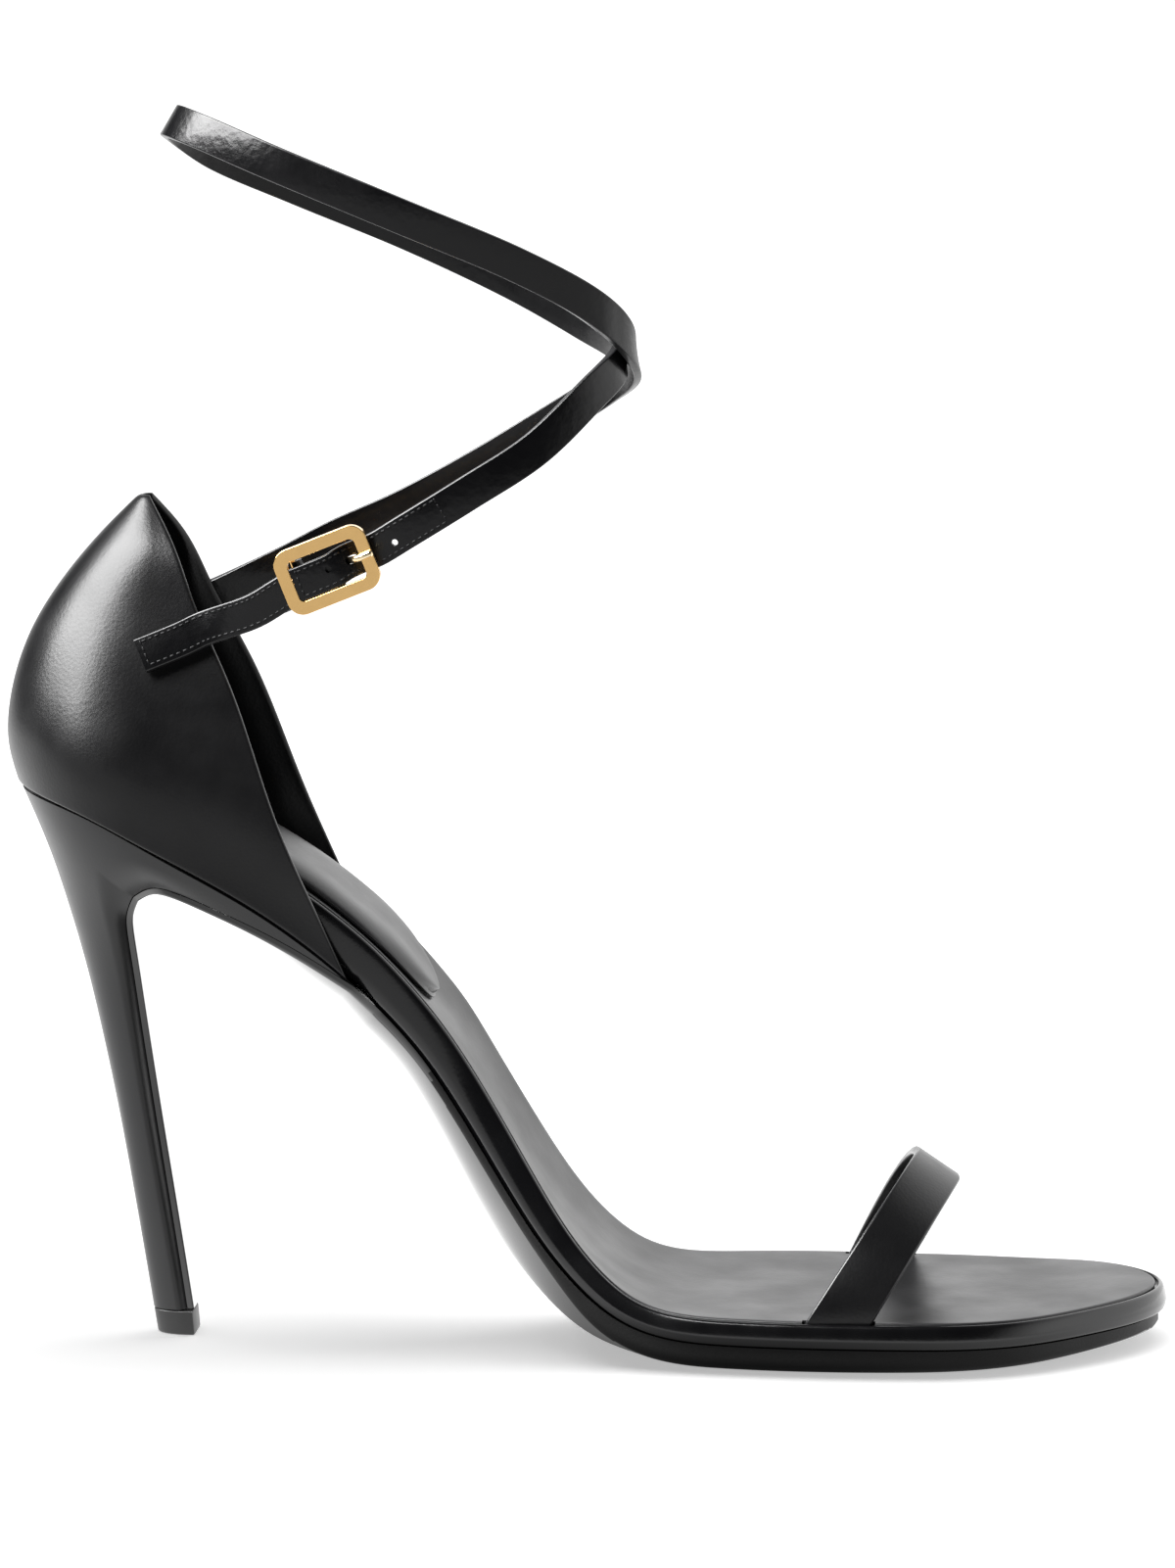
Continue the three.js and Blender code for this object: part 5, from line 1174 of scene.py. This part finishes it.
def bar(start, end, wide_reach, high_reach, power):
    """A closed bar between two points (along, depth, up), its section a superellipse of a power."""
    point = np.asarray(start) + bar_share[:, None] * (np.asarray(end) - np.asarray(start))
    one = np.sign(np.cos(bar_turn)) * np.abs(np.cos(bar_turn)) ** (2 / power) * bar_size * wide_reach
    other = np.sign(np.sin(bar_turn)) * np.abs(np.sin(bar_turn)) ** (2 / power) * bar_size * high_reach
    if point[0, 2] != point[-1, 2]:
        return by_buckle(point[:, :1] + one, point[:, 1:2] + other, point[:, 2:])[None]
    return by_buckle(point[:, :1] + one, point[:, 1:2], point[:, 2:] + other)[None]


pin_radius, pin_reach = PIN_DIAMETER / 2, BUCKLE_HEIGHT / 2 - PIN_INSET
bars = [bar((-PIN_BACK, PIN_DEPTH, -pin_reach), (-PIN_BACK, PIN_DEPTH, pin_reach),
            pin_radius, pin_radius, 2)]
for side in (-1, 1):
    lug_start = (-PIN_BACK - LUG_BACK, LUG_START, side * LUG_UP)
    lug_end = (-PIN_BACK - LUG_BACK, PIN_DEPTH + LUG_PAST_PIN, side * LUG_UP)
    bars.append(bar(lug_start, lug_end, LUG_REACH, LUG_DEPTH, 4))
hinge = gather("buckle_hinge_gold", bars)
dress(hinge, gold, "gold")

# Prong
# Paler gold wire, curled round the pin and laid over the front bar.
PRONG_TIP_ROUND = 0.7

# Pale gold plating over drawn wire: a brighter, cooler mirror than the frame's
pale_gold = metal("pale_gold_plating", "#fbe6bd", (0.12, 0.18), 0.0003)

curl = PIN_DIAMETER / 2 + GAP + PRONG_DIAMETER / 2
around = np.radians([-40, -80, -120, -160, -200, -240, -280])
over = -BUCKLE_THICKNESS / 2 - GAP - PRONG_DIAMETER / 2
prong_knots = by_buckle(
    [*(curl * np.cos(around) - PIN_BACK), curl * 1.6 - PIN_BACK, -1, PRONG_HOLE - 2.4,
     PRONG_HOLE - 0.9, PRONG_HOLE, PRONG_HOLE + 0.7, BUCKLE_LENGTH / 2 - BUCKLE_BAR + 0.2,
     BUCKLE_LENGTH / 2 + 0.3],
    [*(curl * np.sin(around) + PIN_DEPTH), PIN_DEPTH + 0.5, PIN_DEPTH - 0.1, PIN_DEPTH - 0.3, 2.2,
     0.5, -1.1, over, over])
prong_curve = flow(prong_knots)
t = np.linspace(0, len(prong_knots) - 1, 150)
prong_line = prong_curve(t)
prong_run = unit(prong_curve(t + 1e-3) - prong_curve(t - 1e-3))
prong_side = np.broadcast_to(by_buckle(0, 0, 1) - by_buckle(0, 0, 0), prong_run.shape)
prong_up = unit(np.cross(prong_run, prong_side))
turn = np.linspace(0, 2 * np.pi, 25)[:-1][None]
from_tip = np.linalg.norm(prong_line - prong_line[-1], axis=1) + 0.02
size = (PRONG_DIAMETER / 2 * round_end(from_tip, PRONG_TIP_ROUND))[:, None]
prong_wide = prong_side[:, None] * (size * np.cos(turn))[..., None]
prong_high = prong_up[:, None] * (size * np.sin(turn))[..., None]
prong = shell("buckle_prong_gold", prong_line[:, None] + prong_wide + prong_high)
dress(prong, pale_gold, "prong", "buckle_prong")

# Studio
# A white floor under an overhead light that throws the soft shadow, white surroundings that fall
# off to the black cards in front, and a large soft light from the upper left on the sandal alone.
floor_mesh = bpy.data.meshes.new("studio_floor")
floor_mesh.from_pydata([(-9, -9, 0), (9, -9, 0), (9, 9, 0), (-9, 9, 0)], [], [(0, 1, 2, 3)])
floor = bpy.data.objects.new("studio_floor", floor_mesh)
bpy.context.scene.collection.objects.link(floor)
# Matt white paper with a painted glow that grows with distance from the sandal, so the eye sees it evenly
# white to the horizon. What the leather mirrors of it is a painted glow instead, dimmer in front and far
# behind, with a painted shadow under the forefoot
paper = bpy.data.materials.new("white_paper_sweep")
paper.use_nodes = True
sweep_nodes = paper.node_tree
sweep_nodes.nodes.clear()
spot = add_node(sweep_nodes, "ShaderNodeTexCoord").outputs["Object"]
away_from = add_node(sweep_nodes, "ShaderNodeVectorMath", {0: spot}, operation="LENGTH").outputs["Value"]
spot_y = add_node(sweep_nodes, "ShaderNodeSeparateXYZ", {0: spot}).outputs["Y"]
# Painted glow: the paper shines by itself, at 0.45 near the sandal and rising to 1 from 0.8 m away
painted_far_glow = add_node(sweep_nodes, "ShaderNodeMapRange", {
    "Value": away_from, "From Min": 0.22, "From Max": 0.8, "To Min": 0.45, "To Max": 1.0},
    interpolation_type="SMOOTHSTEP")
matt_with_painted_glow = add_node(sweep_nodes, "ShaderNodeBsdfPrincipled", {
    "Base Color": linear("#e8e8e8"), "Roughness": 1.0, "Specular IOR Level": 0.0,
    "Emission Color": (1, 1, 1, 1), "Emission Strength": painted_far_glow.outputs[0]})
# Painted reflection: what the leather mirrors of the floor is a glow, dimmer in front and far behind
rising = add_node(sweep_nodes, "ShaderNodeMapRange", {
    "Value": spot_y, "From Min": -0.25, "From Max": 0.12, "To Min": 0.65, "To Max": 1.9})
falling = add_node(sweep_nodes, "ShaderNodeMapRange", {
    "Value": spot_y, "From Min": 0.25, "From Max": 1.2, "To Min": 1.9, "To Max": 0.9})
bright = add_node(sweep_nodes, "ShaderNodeMath", {
    0: rising.outputs[0], 1: falling.outputs[0]}, operation="MINIMUM")
# Painted shadow: that mirrored glow darkens round the forefoot, where the sandal's own shadow falls
from_ball = add_node(sweep_nodes, "ShaderNodeVectorMath", {
    0: spot, 1: (0.115, 0.01, 0.0)}, operation="DISTANCE")
painted_forefoot_shadow = add_node(sweep_nodes, "ShaderNodeMapRange", {
    "Value": from_ball.outputs["Value"], "From Min": 0.03, "From Max": 0.095,
    "To Min": 0.03, "To Max": 1.0}, interpolation_type="SMOOTHSTEP")
under = add_node(sweep_nodes, "ShaderNodeMath", {
    0: bright.outputs[0], 1: painted_forefoot_shadow.outputs[0]}, operation="MULTIPLY")
mirrored = add_node(sweep_nodes, "ShaderNodeEmission", {
    "Color": (1, 1, 1, 1), "Strength": under.outputs[0]})
direct = add_node(sweep_nodes, "ShaderNodeLightPath").outputs["Is Camera Ray"]
both = add_node(sweep_nodes, "ShaderNodeMixShader", {
    0: direct, 1: mirrored.outputs[0], 2: matt_with_painted_glow.outputs[0]})
add_node(sweep_nodes, "ShaderNodeOutputMaterial", {"Surface": both.outputs[0]})
floor_mesh.materials.append(paper)

world = bpy.data.worlds.new("studio")
bpy.context.scene.world = world
world.use_nodes = True
sky = world.node_tree
sky.nodes.clear()
direction = add_node(sky, "ShaderNodeTexCoord").outputs["Generated"]
behind = add_node(sky, "ShaderNodeVectorMath", {
    0: direction, 1: (1.1, 1.0, -0.8)}, operation="DOT_PRODUCT")
shade = add_node(sky, "ShaderNodeMapRange", {
    "Value": behind.outputs["Value"], "From Min": -0.15, "From Max": 0.75,
    "To Min": 0.02, "To Max": 1.5})
seen = add_node(sky, "ShaderNodeLightPath")
strength = add_node(sky, "ShaderNodeMix", {
    0: seen.outputs["Is Camera Ray"], 2: shade.outputs[0], 3: 1.2})
light = add_node(sky, "ShaderNodeBackground", {
    "Color": (1, 1, 1, 1), "Strength": strength.outputs[0]})
add_node(sky, "ShaderNodeOutputWorld", {"Surface": light.outputs[0]})


def softbox(name, at, aim, size, power, on_floor):
    """An area light of a size in metres that faces a point, and lights the floor alone or all
    but the floor."""
    lamp = bpy.data.lights.new(name, "AREA")
    lamp.shape, lamp.size, lamp.size_y, lamp.energy = "RECTANGLE", *size, power
    lit = bpy.data.objects.new(name, lamp)
    lit.location = at
    lit.rotation_euler = (Vector(aim) - Vector(at)).to_track_quat("-Z", "Y").to_euler()
    bpy.context.scene.collection.objects.link(lit)
    receivers = bpy.data.collections.new(name + "_receivers")
    receivers.objects.link(floor)
    lit.light_linking.receiver_collection = receivers
    if not on_floor:
        receivers.collection_objects[0].light_linking.link_state = "EXCLUDE"


softbox("key_softbox", (-0.80, -0.31, 1.05), (-0.02, 0.0, 0.14), (1.2, 1.12), 102.0, False)
softbox("top_softbox", (0.04, 0.10, 1.15), (0.08, 0.0, 0.0), (1.3, 0.9), 13.0, True)

# Camera
# A long lens at the height of the photograph's, a little towards the toe.
SENSOR = 36.0
FOCAL_PIXELS = 9738
PICTURE_HEIGHT = 1601
camera_aim = Vector((0.078222, 0, 0.106273))
camera_data = bpy.data.cameras.new("camera")
camera_data.sensor_width = SENSOR
camera_data.lens = FOCAL_PIXELS / PICTURE_HEIGHT * SENSOR
camera_data.clip_end = 100
camera = bpy.data.objects.new("camera", camera_data)
camera.location = (0.21804, -1.77655, 0.35990)
camera.rotation_euler = (camera_aim - camera.location).to_track_quat("-Z", "Y").to_euler()
bpy.context.scene.collection.objects.link(camera)
bpy.context.scene.camera = camera
bpy.context.scene.view_settings.view_transform = "Standard"
